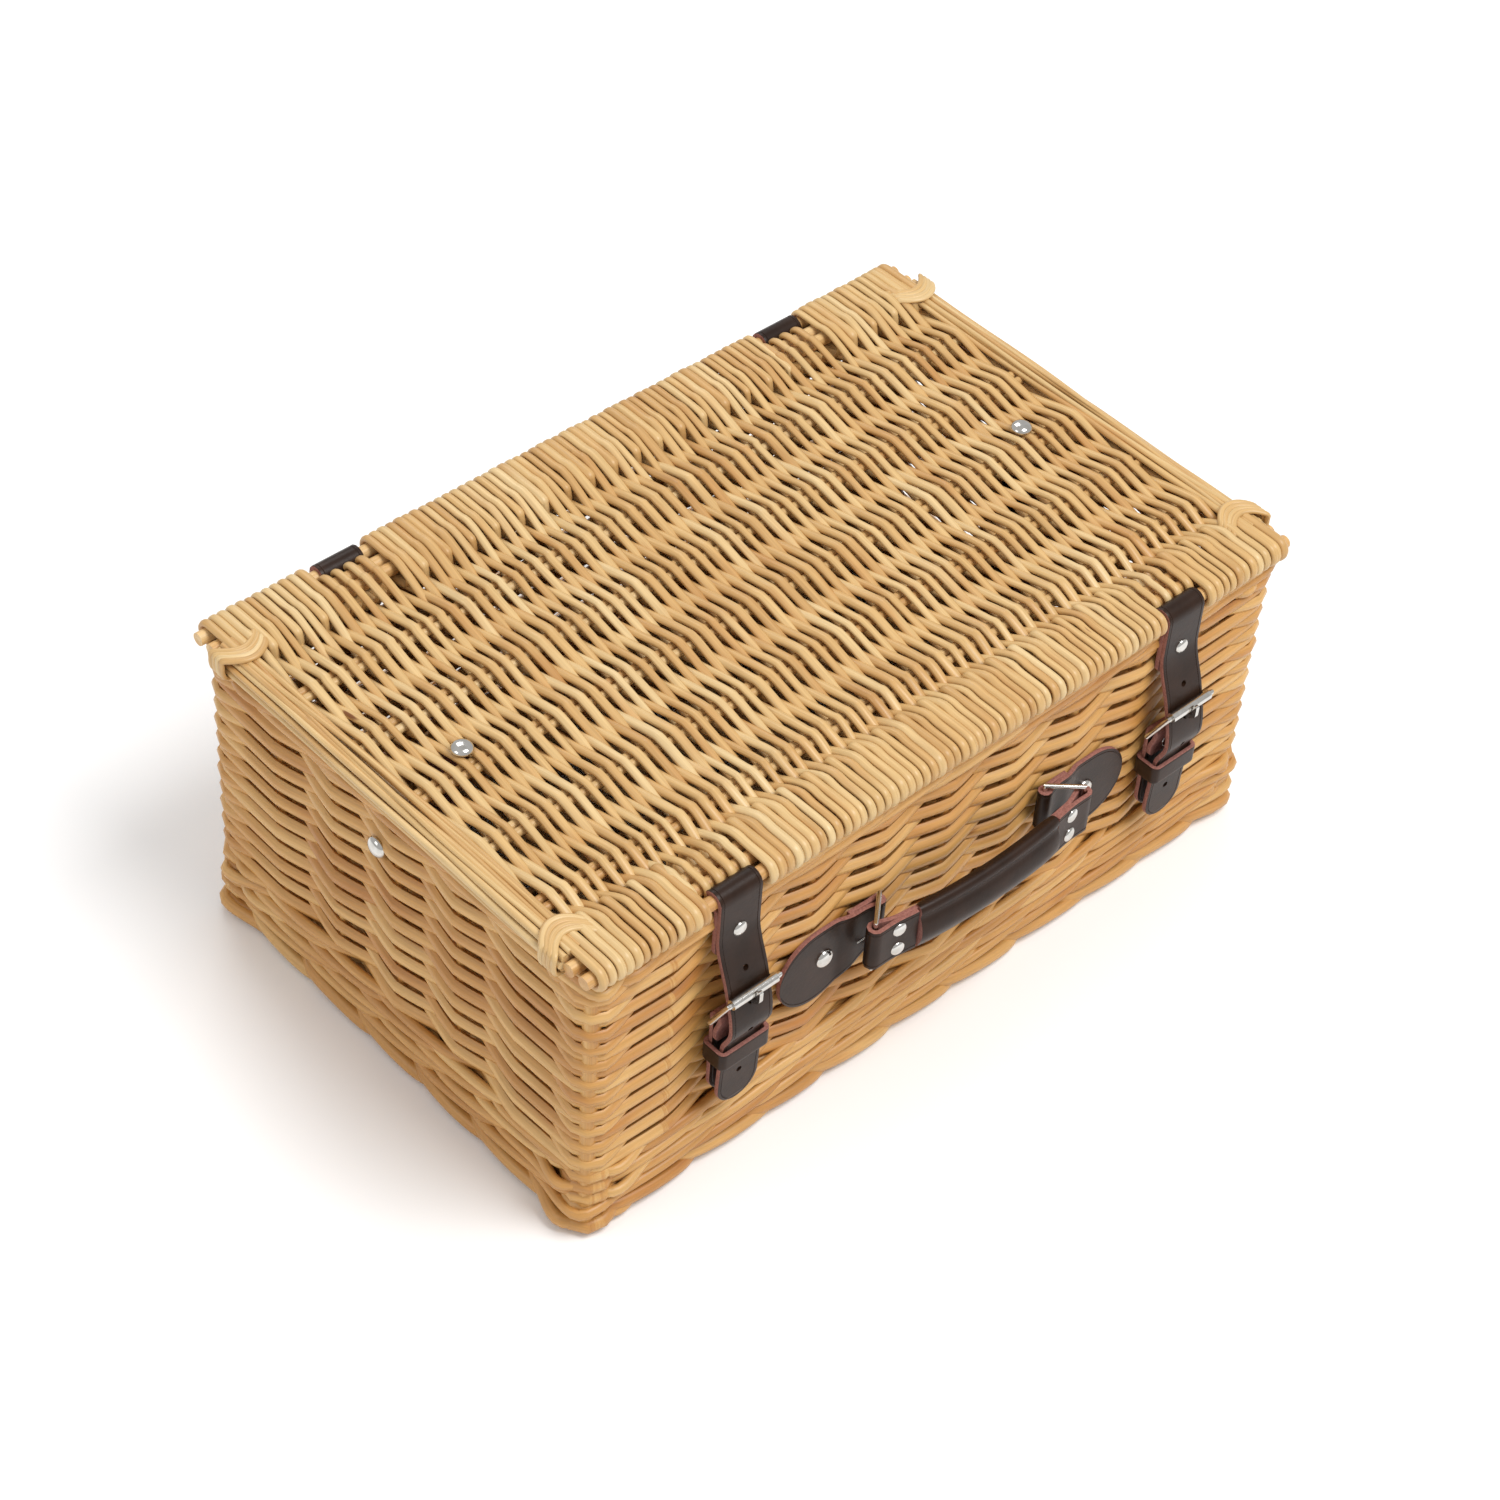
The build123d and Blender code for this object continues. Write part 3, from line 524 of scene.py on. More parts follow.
BINDING_STEPS = 8
BINDING_BACK = (
    # x, level: down the outer edge, back under the rods and up again
    (BINDING_OUT + 0.5, 2.5),
    (BINDING_OUT + 0.3, -2.5),
    (BINDING_OUT - 2.0, -5.8),
    (BINDING_OUT - 12.0, -6.4),
    (BINDING_IN, -5.6),
    (BINDING_IN - 0.5, 0.0),
)
BORDER_END = node_box("lid_end_border_right")[1][1]
END_ROD_REACH = BORDER_END + 9
END_ROD_SIZE = 0.88
THICK_END = 1.12
THIN_END = 0.82


def build_end_rods(name, side):
    """The long rods of one end border. They bow, cross and taper."""
    ys = np.linspace(-END_ROD_REACH, END_ROD_REACH, 14)
    share = (ys + END_ROD_REACH) / (2 * END_ROD_REACH)
    bundle = Bundle(10)
    for front, back_end, level, radius, bow in END_RODS:
        across = front + (back_end - front) * (share if side < 0 else 1 - share)
        bend = bow * np.sin(share * math.pi * 1.7 + level) + 0.3 * np.sin(ys / 17 + front)
        droop = 0.4 * np.sin(ys / 23 + front * 2)
        path = np.stack([side * (END_BORDER_IN + across + bend), ys, LID_MID + level + droop], axis=1)
        path = smooth_path(path, 4)
        thick_first = (THICK_END, THIN_END) if bow > 0 else (THIN_END, THICK_END)
        taper = np.linspace(*thick_first, len(path))
        bundle.add(path, radius * END_ROD_SIZE * taper, wide=(1, 0, 0), squash=0.95)
    bundle.build(f"lid_end_rods_{name}", WILLOW, "lid", (f"lid_end_border_{name}",))


def binding_loop(side, end, foot_y):
    """One strand that ties the end rods down: an arch over them, then back beneath."""
    loop = []
    for step in range(BINDING_STEPS + 1):
        t = step / BINDING_STEPS
        off = 2 * t - 1
        x = BINDING_IN + (BINDING_OUT - BINDING_IN) * t
        y = foot_y - BINDING_ARCH * (1 - off**2)
        loop.append((side * x, end * y, LID_MID + BINDING_TOP - BINDING_DROP * off**4))
    loop += [(side * x, end * foot_y, LID_MID + level) for x, level in BINDING_BACK]
    return smooth_path(loop, 3, closed=True)


def build_lid_ends():
    for name, side in SIDES.items():
        build_end_rods(name, side)
    bundle = Bundle(10)
    for side in (-1, 1):
        for end in (-1, 1):
            for k in range(BINDING_STRANDS):
                loop = binding_loop(side, end, BORDER_END - 1.0 + k * STRAND_PITCH)
                size = STRAND_WIDE * random.uniform(0.9, 1.05)
                bundle.add(loop, size, wide=(0, 1, 0), squash=STRAND_SQUASH, closed=True)
    bundle.build("lid_binding_strands", WILLOW, "lid", ("lid_corner_bindings",))


# ---- woven walls ----
CORNER_ARC = 6.0
LONG_STAKES = 9
SHORT_STAKES = 5
long_run = 2 * (WALL_X - CORNER_ARC)
short_run = 2 * (WALL_Y - CORNER_ARC)
arc_run = CORNER_ARC * math.pi / 2
LOOP = 2 * (long_run + short_run) + 4 * arc_run


def on_loop(u):
    """(x, y, outward x, outward y) at a distance u round the middle of the walls, from the front left."""
    u = u % LOOP
    spans = (
        ((-WALL_X + CORNER_ARC, -WALL_Y), (1, 0), long_run),
        ((WALL_X, -WALL_Y + CORNER_ARC), (0, 1), short_run),
        ((WALL_X - CORNER_ARC, WALL_Y), (-1, 0), long_run),
        ((-WALL_X, WALL_Y - CORNER_ARC), (0, -1), short_run),
    )
    for (x, y), (dx, dy), run in spans:
        if u < run:
            return x + dx * u, y + dy * u, dy, -dx
        u -= run
        if u < arc_run:
            turn = u / CORNER_ARC
            ox, oy = dy, -dx
            cx = x + dx * run - ox * CORNER_ARC
            cy = y + dy * run - oy * CORNER_ARC
            nx = ox * math.cos(turn) + dx * math.sin(turn)
            ny = oy * math.cos(turn) + dy * math.sin(turn)
            return cx + nx * CORNER_ARC, cy + ny * CORNER_ARC, nx, ny
        u -= arc_run
    return on_loop(0.0)


def stake_stations():
    """Every stake's distance round the loop, and whether it is a corner post."""
    stations = []
    start = 0.0
    for count, run, half in ((LONG_STAKES, long_run, WALL_X), (SHORT_STAKES, short_run, WALL_Y)) * 2:
        pitch = 2 * half / (count + 1)
        for k in range(count):
            stations.append((start + run / 2 + (k - (count - 1) / 2) * pitch, False))
        start += run
        stations.append((start + arc_run / 2, True))
        start += arc_run
    return stations


STATIONS = stake_stations()
POSTS = [u for u, post in STATIONS if post]
# How far out of the wall's middle a rod lies in front of a stake and behind it. Both ways it passes
# outside a corner post, more and less proud.
WALL_OUT = 4.5
WALL_IN = -4.3
POST_OUT = 6.6
POST_IN = 4.4
STRAIGHTNESS = 0.6  # how straight a rod runs from stake to stake: 0 is a wave, 1 is a straight line
CORNER_PINCH = 0.15  # how much slimmer the rods are at the posts
CORNER_SPREAD = 12.0
POST_LIFT = 0.3  # the rods' rise and dip at a post, as a share of that at a stake
WALL_STEPS = 9
CORNER_STEPS = 12


def to_corner(u):
    """The distance round the loop to the nearest corner post."""
    return min(abs((u - post + LOOP / 2) % LOOP - LOOP / 2) for post in POSTS)


def wall_point(u, out, z):
    """A point at a distance u round the walls, out from their middle, at a height z."""
    x, y, nx, ny = on_loop(u)
    return x + nx * out, y + ny * out, z


def row_path(z, parity, lift):
    """One round of the plain weave: outside one stake and inside the next."""
    number = len(STATIONS)
    targets = []
    for k, (u, post) in enumerate(STATIONS):
        outside = (k + parity) % 2 == 0
        out = (POST_OUT if post else WALL_OUT) if outside else (POST_IN if post else WALL_IN)
        rise = (-lift if outside else lift) * (POST_LIFT if post else 1)
        targets.append((u, out + random.uniform(-0.4, 0.4), rise + random.uniform(-0.45, 0.45)))
    path = []
    fullness = []
    for k in range(number):
        u0, out0, rise0 = targets[k]
        u1, out1, rise1 = targets[(k + 1) % number]
        if u1 < u0:
            u1 += LOOP
        at_corner = STATIONS[k][1] or STATIONS[(k + 1) % number][1]
        steps = CORNER_STEPS if at_corner else WALL_STEPS
        for step in range(steps):
            f = step / steps
            share = STRAIGHTNESS * f + (1 - STRAIGHTNESS) * (1 - math.cos(math.pi * f)) / 2
            place = u0 + (u1 - u0) * f
            out = out0 + (out1 - out0) * share
            path.append(wall_point(place, out, z + rise0 + (rise1 - rise0) * share))
            pinch = 1 - CORNER_PINCH * math.exp(-((to_corner(place) / CORNER_SPREAD) ** 2))
            fullness.append(pinch * (1 + 0.05 * math.sin(len(path) / 23 + z)))
    return path, np.array(fullness)


ROWS_LOW = 46.0  # the lowest row's height
ROW_PITCH = 5.65
ROW_WIDE = 3.6
ROW_LIFT = 0.9


def build_walls():
    rows = int((RIM_LOW - ROWS_LOW) / ROW_PITCH) + 2
    half = rows // 2
    for name, first, last, nodes in (
        ("wall_rods_lower", 0, half, ("wall_front_weave", "wall_back_weave")),
        ("wall_rods_upper", half, rows, ("wall_left_weave", "wall_right_weave")),
    ):
        bundle = Bundle(8)
        for row in range(first, last):
            z = ROWS_LOW + row * ROW_PITCH
            path, fullness = row_path(z, row, ROW_LIFT)
            size = ROW_WIDE * random.uniform(0.93, 1.05) * fullness
            bundle.add(path, size, squash=ROD_SQUASH, closed=True)
        bundle.build(name, WALL_WILLOW, "basket", nodes)


STROKE = (
    # share of the visible length, share of the way out, share of the climb
    (-0.16, -0.75, -1.15),
    (0.02, 0.1, -1.0),
    (0.18, 0.85, -0.72),
    (0.50, 1.1, 0.0),
    (0.80, 0.9, 0.68),
    (0.98, 0.15, 1.0),
    (1.15, -0.75, 1.15),
)
STROKE_PITCH = LOOP / len(STATIONS)
STROKE_SIZES = ((0, 0.2, 0.65, 1), (0.80, 1.05, 1.0, 0.70))  # shares of a stroke, and its thickness there
STROKE_CORNER_OUT = 4.2
STROKE_CORNER_SPREAD = 10.0
HOOP_POINTS = 360
HOOP_CORNER_SPREAD = 14.0


def strokes(bundle, z, radius, climb, out, visible, shift, squash=0.85):
    """A round of laid rods. Each comes out between two stakes, lies outside and goes in again.

    shift is how far round the first one starts, in steps from one stake to the next.
    """
    for k in range(len(STATIONS)):
        length = visible * random.uniform(0.92, 1.10)
        start = (k + shift) * STROKE_PITCH + random.uniform(-2.5, 2.5)
        lean = random.uniform(0.7, 1.3) * climb
        points = []
        for along, share, rise in STROKE:
            place = start + along * length
            past = STROKE_CORNER_OUT * math.exp(-((to_corner(place) / STROKE_CORNER_SPREAD) ** 2))
            reach = out * share + (past if share > 0 else 0.0)
            points.append(wall_point(place, reach + random.uniform(-0.25, 0.25), z + lean * rise))
        path = smooth_path(points, 6)
        size = radius * np.interp(np.linspace(0, 1, len(path)), *STROKE_SIZES)
        bundle.add(path, size * random.uniform(0.93, 1.06), squash=squash)


def hoops(bundle, z, radius, outs, corner_out=0.0):
    """Plain rods that run all the way round, and further out by corner_out past the corner posts."""
    for out in outs:
        path = []
        for k in range(HOOP_POINTS):
            u = k / HOOP_POINTS * LOOP
            wave = 0.5 * math.sin(u / 19 + out)
            past = corner_out * math.exp(-((to_corner(u) / HOOP_CORNER_SPREAD) ** 2))
            path.append(wall_point(u, out + past + 0.4 * math.sin(u / 27 + out), z + wave))
        bundle.add(path, radius, squash=0.9, closed=True)


WALING_HEIGHTS = (17.0, 25.0, 33.0, 41.0)


def build_borders():
    foot = Bundle(10)
    strokes(foot, 6.2, 3.9, climb=-1.9, out=4.2, visible=62.0, shift=0.1, squash=0.95)
    hoops(foot, 6.0, 4.0, (-3.6, 0.2), 6.0)
    foot.build("foot_border_rods", WALL_WILLOW, "basket", ("foot_border",))

    waling = Bundle(8)
    for row, z in enumerate(WALING_HEIGHTS):
        shift = 0.05 + 0.3 * (row % 2)
        strokes(waling, z, 3.0, climb=2.6, out=4.8, visible=70.0, shift=shift, squash=0.92)
        hoops(waling, z, 3.7, (-3.2,), 9.2)
    waling.build("waling_rods", WALL_WILLOW, "basket")

    rim = Bundle(8)
    strokes(rim, RIM_TOP - 7.5, 3.1, climb=3.2, out=4.4, visible=88.0, shift=0.2)
    hoops(rim, RIM_TOP - 3.4, 3.1, (-3.6, 0.4, 4.0))
    hoops(rim, RIM_TOP - 8.5, 3.2, (-3.6, 1.5))
    rim.build("rim_border_rods", WALL_WILLOW, "basket", ("rim_border",))


BASE_STICKS = 5
BASE_PITCH = 5.0
BASE_ROD = 2.5
BASE_RISE = 2.5
BASE_PAST = 3.0  # how far the rods' ends run into the foot border


def build_base():
    low, high = node_box("base_sticks")
    radius = (high[2] - low[2]) / 2
    sticks = np.linspace(low[1] + radius, high[1] - radius, BASE_STICKS)
    reach_x, reach_y = node_box("base_weave")[1][:2]
    count = int(2 * (reach_x + 2) / BASE_PITCH)
    bundle = Bundle(8)
    for i in range(count):
        x = (i - (count - 1) / 2) * BASE_PITCH
        points = [(x, -reach_y - BASE_PAST, BASE_MID)]
        for k, y in enumerate(sticks):
            rise = 1 if (i + k) % 2 else -1
            points.append((x + rise * SIDE_STEP, y, BASE_MID + rise * BASE_RISE))
            if k + 1 < BASE_STICKS:
                points.append((x, (y + sticks[k + 1]) / 2, BASE_MID))
        points.append((x, reach_y + BASE_PAST, BASE_MID))
        size = BASE_ROD * random.uniform(0.92, 1.05)
        bundle.add(smooth_path(points, 5), size, wide=(1, 0, 0), squash=0.72)
    bundle.build("base_rods", WILLOW, "basket", ("base_weave",))


# ---- leather ----
CREASE_IN = 2.0
CREASE_DEPTH = 0.28
CREASE_WIDTH = 14.0  # narrower strips have no creases
EDGE_BEVEL = 0.3
FLESH_SIDES = range(6, 13)  # the sides of a strip's ring that are cut edge or flesh


def strip(name, path, width_dir, spans, thickness, body, nodes, closed=False, flip=False):
    """A leather strip: a path, how far it reaches each way across it at each point, and a thickness.

    The grain lies on the side that path x width_dir points to, or on the other with flip. A strip
    without a body is not declared here.
    """
    path = np.asarray(path, dtype=float)
    number = len(path)
    run = np.roll(path, -1, axis=0) - np.roll(path, 1, axis=0) if closed else np.gradient(path, axis=0)
    run /= np.linalg.norm(run, axis=1)[:, None]
    across = np.broadcast_to(np.asarray(width_dir, dtype=float), path.shape)
    out = np.cross(run, across) * (-1 if flip else 1)
    spans = np.broadcast_to(np.asarray(spans, dtype=float), (number, 2))
    t = thickness / 2
    ring = []
    for low, high in spans:
        b = min(EDGE_BEVEL, (high - low) / 3)
        soft = b * 0.3
        groove = CREASE_DEPTH if high - low > CREASE_WIDTH else 0.0
        c = min(CREASE_IN, (high - low) / 2 - 0.1)
        ring.append(
            [
                (low + c, t - groove),
                (low + c + 0.3, t),
                (high - c - 0.3, t),
                (high - c, t - groove),
                (high - c + 0.3, t),
                (high - b, t),
                (high - soft, t - soft),
                (high, t - b),
                (high, b * 0.6 - t),
                (high - soft, -t),
                (low + soft, -t),
                (low, b * 0.6 - t),
                (low, t - b),
                (low + soft, t - soft),
                (low + b, t),
                (low + c - 0.3, t),
            ]
        )
    ring = np.array(ring)
    sides = ring.shape[1]
    verts = path[:, None, :] + ring[:, :, 0:1] * across[:, None, :] + ring[:, :, 1:2] * out[:, None, :]
    faces = tube_faces(number, sides, closed)
    if not flip:
        faces = [face[::-1] for face in faces]
    slots = [1 if b in FLESH_SIDES else 0 for b in range(sides)] * (number - (0 if closed else 1))
    if not closed:
        slots += [1, 1]
    piece = make_piece(name, verts.reshape(-1, 3), faces, [GRAIN, FLESH], slots, angle=40)
    if body:
        declare(piece, body, nodes)
    return piece


def cut(piece, start, end, radius):
    """Punches a round hole through a piece, from one point to another."""
    start = Vector(start) * MM
    end = Vector(end) * MM
    bpy.ops.mesh.primitive_cylinder_add(vertices=20, radius=radius * MM, depth=(end - start).length)
    tool = bpy.context.object
    turn = (end - start).to_track_quat("Z", "Y").to_matrix().to_4x4()
    tool.matrix_world = Matrix.Translation((start + end) / 2) @ turn
    bore = piece.modifiers.new("hole", "BOOLEAN")
    bore.operation = "DIFFERENCE"
    bore.object = tool
    bpy.context.view_layer.update()
    done = bpy.data.meshes.new_from_object(piece.evaluated_get(bpy.context.evaluated_depsgraph_get()))
    piece.modifiers.clear()
    piece.data = done
    bpy.data.objects.remove(tool)


def arc(centre, radius, start, stop, steps):
    """Points (a, b) on an arc, with angles in degrees."""
    return [
        (centre[0] + radius * math.cos(math.radians(a)), centre[1] + radius * math.sin(math.radians(a)))
        for a in np.linspace(start, stop, steps)
    ]


LEATHER = 2.4
LOOP_RADIUS = STICK_RADIUS + 0.05 + LEATHER / 2
TIP_GAPS = (0.12, 0.4, 0.9, 1.6, 2.5, 3.6, 5.0, 6.8, 9.0, 11.0)
NARROWEST_TIP = 0.8


def tip_spans(path, half, round_start=0.0, round_end=0.0):
    """How far a strip reaches each way, with its tips rounded."""
    path = np.asarray(path)
    along = np.concatenate([[0], np.cumsum(np.linalg.norm(np.diff(path, axis=0), axis=1))])
    spans = []
    for place in along:
        width = half
        for gap, bend in ((place, round_start), (along[-1] - place, round_end)):
            if bend and gap < bend:
                width = min(width, half - bend + math.sqrt(bend**2 - (bend - gap) ** 2))
        width = max(width, NARROWEST_TIP)
        spans.append((-width, width))
    return spans


def resample(path, step):
    """The same path with a point about every step, and closer towards its two ends."""
    path = np.asarray(path, dtype=float)
    along = np.concatenate([[0], np.cumsum(np.linalg.norm(np.diff(path, axis=0), axis=1))])
    count = max(int(along[-1] / step), 8)
    places = [k / count * along[-1] for k in range(count + 1)]
    for gap in TIP_GAPS:
        places += [gap, along[-1] - gap]
    places = np.unique(np.round(sorted(places), 3))
    return np.stack([np.interp(places, along, path[:, k]) for k in range(path.shape[1])], axis=1)


def profile(x, route, step=2.2):
    """The path at x of a strip that is drawn in side view, as points (y, z)."""
    path = smooth_path([(0, y, z) for y, z in route], 4)
    path[:, 0] = x
    return resample(path, step)


STRAP_FLAP = (150.0, 160.0, 170.0, 176.5)  # heights on the tail behind the strap
STRAP_HOLES = (105.0, 141.8, 72.0)
STRAP_HOLE = 1.6
HOLE_FRONT = -175.0
HOLE_BACK = -146.5
PRONG_SLOT = 2.1
STRAP_HANG = (
    # y from the line where the strap leaves its loop, height
    (0.0, 176.0),
    (0.0, 166.0),
    (-0.3, 159.0),
    (-2.2, 151.0),
)
STRAP_BULGE = (
    # y from the strap's foremost line, height
    (1.2, 121.5),
    (0.0, 114.0),
    (0.0, 107.5),
    (2.4, 101.5),
    (4.6, 96.5),
    (5.1, 88.0),
)
STRAP_END_Y = (-150.2, -149.5)
STRAP_END_Z = 72.0
BEHIND_ROLLER = 2.6 + 0.35 + LEATHER / 2  # the roller's radius, a gap and half the leather
FLAP_ROUND = 4.0
STRAP_TIP_ROUND = 12.3


def build_straps():
    for name in SIDES:
        x = STRAP_X[name]
        heel = pivot(f"buckle_{name}_swing")
        roller = pivot(f"roller_{name}_spin")
        swing = pivot(f"strap_{name}_swing")
        low = node_box(f"strap_{name}")[0]
        line_y = swing[1] - LOOP_RADIUS
        behind = roller[1] + BEHIND_ROLLER
        front = low[1] + LEATHER / 2
        route = [(line_y + LEATHER, z) for z in STRAP_FLAP]
        route += arc((swing[1], swing[2]), LOOP_RADIUS, 241, 540, 22)
        route += [(line_y + y, z) for y, z in STRAP_HANG]
        route += [(behind + 2.2, 139.0), (behind, roller[2])]
        route += [(front + y, z) for y, z in STRAP_BULGE]
        route += [(STRAP_END_Y[0], STRAP_END_Z), (STRAP_END_Y[1], low[2])]
        path = profile(x, route)
        spans = tip_spans(path, STRAP_WIDTH / 2, FLAP_ROUND, STRAP_TIP_ROUND)
        label = f"strap_{name}"
        piece = strip(f"buckle_strap_{name}", path, (1, 0, 0), spans, LEATHER, label, (label,))
        for z in STRAP_HOLES:
            cut(piece, (x, HOLE_FRONT, z), (x, HOLE_BACK, z), STRAP_HOLE)
        knee = np.array([x, behind - 0.5, (heel[2] + roller[2]) / 2 + 1])
        tip = np.array([x, roller[1] - 4.05, roller[2] - 3.5])
        aim = (tip - knee) / np.linalg.norm(tip - knee)
        cut(piece, knee - aim * 4, knee + aim * 7, PRONG_SLOT)


HINGE_FRONT = (150.0, 165.0, 176.0)  # heights on the outside of the wall
HINGE_TAIL = (175.0, 160.0)  # heights on the tail inside it


def build_hinges():
    axis = pivot("lid_hinge")
    for name in SIDES:
        low, high = node_box(f"hinge_loop_{name}")
        y = high[1] - LEATHER / 2
        route = [(y, z) for z in (low[2], *HINGE_FRONT)]
        route += arc((axis[1], axis[2]), LOOP_RADIUS, 0, 299, 22)
        route += [(y - LEATHER, z) for z in (*HINGE_TAIL, low[2] + 1.5)]
        path = profile(HINGE_X[name], route)
        spans = tip_spans(path, STRAP_WIDTH / 2, 6.0, 3.0)
        strip(f"hinge_leather_{name}", path, (1, 0, 0), spans, LEATHER, "basket", (f"hinge_loop_{name}",))


CHAPE_BACK = (75.0, 95.0, 106.0)  # heights on the wall side
CHAPE_FOLD = (
    # further forward than the folded end's line, height
    (1.6, 107.5),
    (0.1, 103.0),
    (0.0, 99.5),
    (0.0, 96.0),
)
BUCKLE_WIRE_GAP = 1.45
CHAPE_SLOT = 1.5
CHAPE_SLOT_RISE = 1.6
CHAPE_SLOT_REACH = 8.0
KEEPER_THICK = 2.2
KEEPER_CORNER = 2.4
KEEPER_HALF = 5.2


def build_chape(name):
    """The leather that holds the buckle: up the wall, round the buckle's wire and down in front."""
    x = STRAP_X[name]
    heel = pivot(f"buckle_{name}_swing")
    low, high = node_box(f"chape_{name}")
    back = high[1] - LEATHER / 2
    route = [(back, z) for z in (low[2], *CHAPE_BACK)]
    route += arc((heel[1], heel[2]), BUCKLE_WIRE_GAP + LEATHER / 2, 0, 185, 12)
    route += [(back - LEATHER - forward, z) for forward, z in CHAPE_FOLD]
    path = profile(x, route, 2.0)
    spans = tip_spans(path, STRAP_WIDTH / 2, 12.0, 3.0)
    nodes = (f"chape_{name}",)
    piece = strip(f"chape_leather_{name}", path, (1, 0, 0), spans, LEATHER, "basket", nodes, flip=True)
    z = heel[2] + CHAPE_SLOT_RISE
    cut(piece, (x, heel[1] - CHAPE_SLOT_REACH, z), (x, heel[1] + CHAPE_SLOT_REACH, z), CHAPE_SLOT)


def build_keeper(name):
    """The closed loop that holds the strap's tip."""
    low, high = node_box(f"keeper_{name}")
    inset = KEEPER_THICK / 2 + KEEPER_CORNER
    x0, y0 = (low + inset)[:2]
    x1, y1 = (high - inset)[:2]
    loop = []
    for centre, turn in (((x1, y1), 0), ((x0, y1), 90), ((x0, y0), 180), ((x1, y0), 270)):
        loop += arc(centre, KEEPER_CORNER, turn, turn + 90, 6)
    z = (low[2] + high[2]) / 2
    path = [(x, y, z) for x, y in loop]
    spans = (-KEEPER_HALF, KEEPER_HALF)
    nodes = (f"keeper_{name}",)
    strip(f"keeper_leather_{name}", path, (0, 0, 1), spans, KEEPER_THICK, "basket", nodes, closed=True)


def build_chapes():
    for name in SIDES:
        build_chape(name)
        build_keeper(name)


HANDLE_MID = (middle("ring_left")[0] + middle("ring_right")[0]) / 2
HANDLE_Z = middle("handle_strap")[2]
HANDLE_PIVOT = pivot("handle_pivot")
HANDLE_BOW = 6.5
BOW_RADIUS = ((HANDLE_MID - HANDLE_PIVOT[0]) ** 2 + HANDLE_BOW**2) / (2 * HANDLE_BOW)
PLATE_Z = 106.0
PLATE_HALF = 12.0
ROUND_Z = 95.0
ROUND_RADIUS = 23.0
PLATE_ROLL = 1.3 + LEATHER / 2
PLATE_FLAP = (
    # outwards from the ring's bar, further forward than the wall layer
    (17, 0.0),
    (10, 0.0),
    (5, 0.3),
)
PLATE_FRONT = (
    (5, LEATHER + 0.9),
    (10, LEATHER + 0.2),
    (16, LEATHER),
    (21, 1.2),
    (26, 0.0),
)


def plate_span(d, start, round_at):
    """The plate's reach down and up from PLATE_Z, at d outwards: a strap that widens to a round end."""
    bottom = PLATE_Z - PLATE_HALF
    drop = ROUND_Z - bottom
    run = round_at - start
    slope = math.atan2(drop, run) - math.asin(ROUND_RADIUS / math.hypot(run, drop))
    bulge = math.sqrt(max(ROUND_RADIUS**2 - (d - round_at) ** 2, 0.5))
    if d > round_at + ROUND_RADIUS * math.sin(slope):
        low = ROUND_Z - bulge
    else:
        low = min(bottom + (d - start) * math.tan(slope), bottom)
    high = ROUND_Z + bulge if d > round_at else PLATE_Z + PLATE_HALF
    return low - PLATE_Z, high - PLATE_Z


def build_plates():
    for name, side in SIDES.items():
        bar = pivot(f"ring_{name}_swing")
        low, high = node_box(f"handle_plate_{name}")
        reach = max(abs(low[0] - HANDLE_MID), abs(high[0] - HANDLE_MID))
        start = abs(bar[0] - HANDLE_MID)
        back = high[1] - LEATHER / 2
        route = [(start + d, back - forward) for d, forward in PLATE_FLAP]
        route += arc((start, bar[1]), PLATE_ROLL, 80, 290, 14)
        route += [(start + d, back - forward) for d, forward in PLATE_FRONT]
        route += [(reach - 14, back), (reach, back)]
        path = resample(smooth_path([(d, y, PLATE_Z) for d, y in route], 4), 1.6)
        turned = int(np.argmin(path[:, 0]))
        spans = [(-PLATE_HALF, PLATE_HALF)] * (turned + 1)
        spans += [plate_span(d, start, reach - ROUND_RADIUS) for d in path[turned + 1 :, 0]]
        path[:, 0] = HANDLE_MID + side * path[:, 0]
        nodes = (f"handle_plate_{name}",)
        label = f"handle_plate_leather_{name}"
        strip(label, path, (0, 0, 1), spans, LEATHER, "basket", nodes, flip=side < 0)


def on_bow(dx, out):
    """(x, y) on the handle's bow at dx along it, and out in front of it."""
    turn = dx / BOW_RADIUS
    r = BOW_RADIUS + out
    return HANDLE_MID + r * math.sin(turn), HANDLE_PIVOT[1] - HANDLE_BOW + BOW_RADIUS - r * math.cos(turn)


HANDLE_FLAP = 47.0
HANDLE_LOOP = 2.0 + LEATHER / 2
HANDLE_STATIONS = (-60, -52, -40, -25, -10, 0, 10, 25, 40, 52, 60)
GRIP_RINGS = 44
GRIP_FADE = 8.0  # over how much of each end the grip slims down
GRIP_SLIM = 0.20
GRIP_OUTLINE = (
    # height from its middle, distance in front of the bow
    (13.9, 0.3),
    (12.9, 2.6),
    (10.6, 3.7),
    (7.4, 3.0),
    (3.6, 4.9),
    (-1.4, 6.2),
    (-6.0, 5.7),
    (-10.6, 3.6),
    (-13.2, 1.9),
    (-13.9, -0.6),
    (-12.8, -3.0),
    (-8.5, -3.9),
    (0.0, -4.0),
    (8.5, -3.9),
    (12.8, -2.8),
)


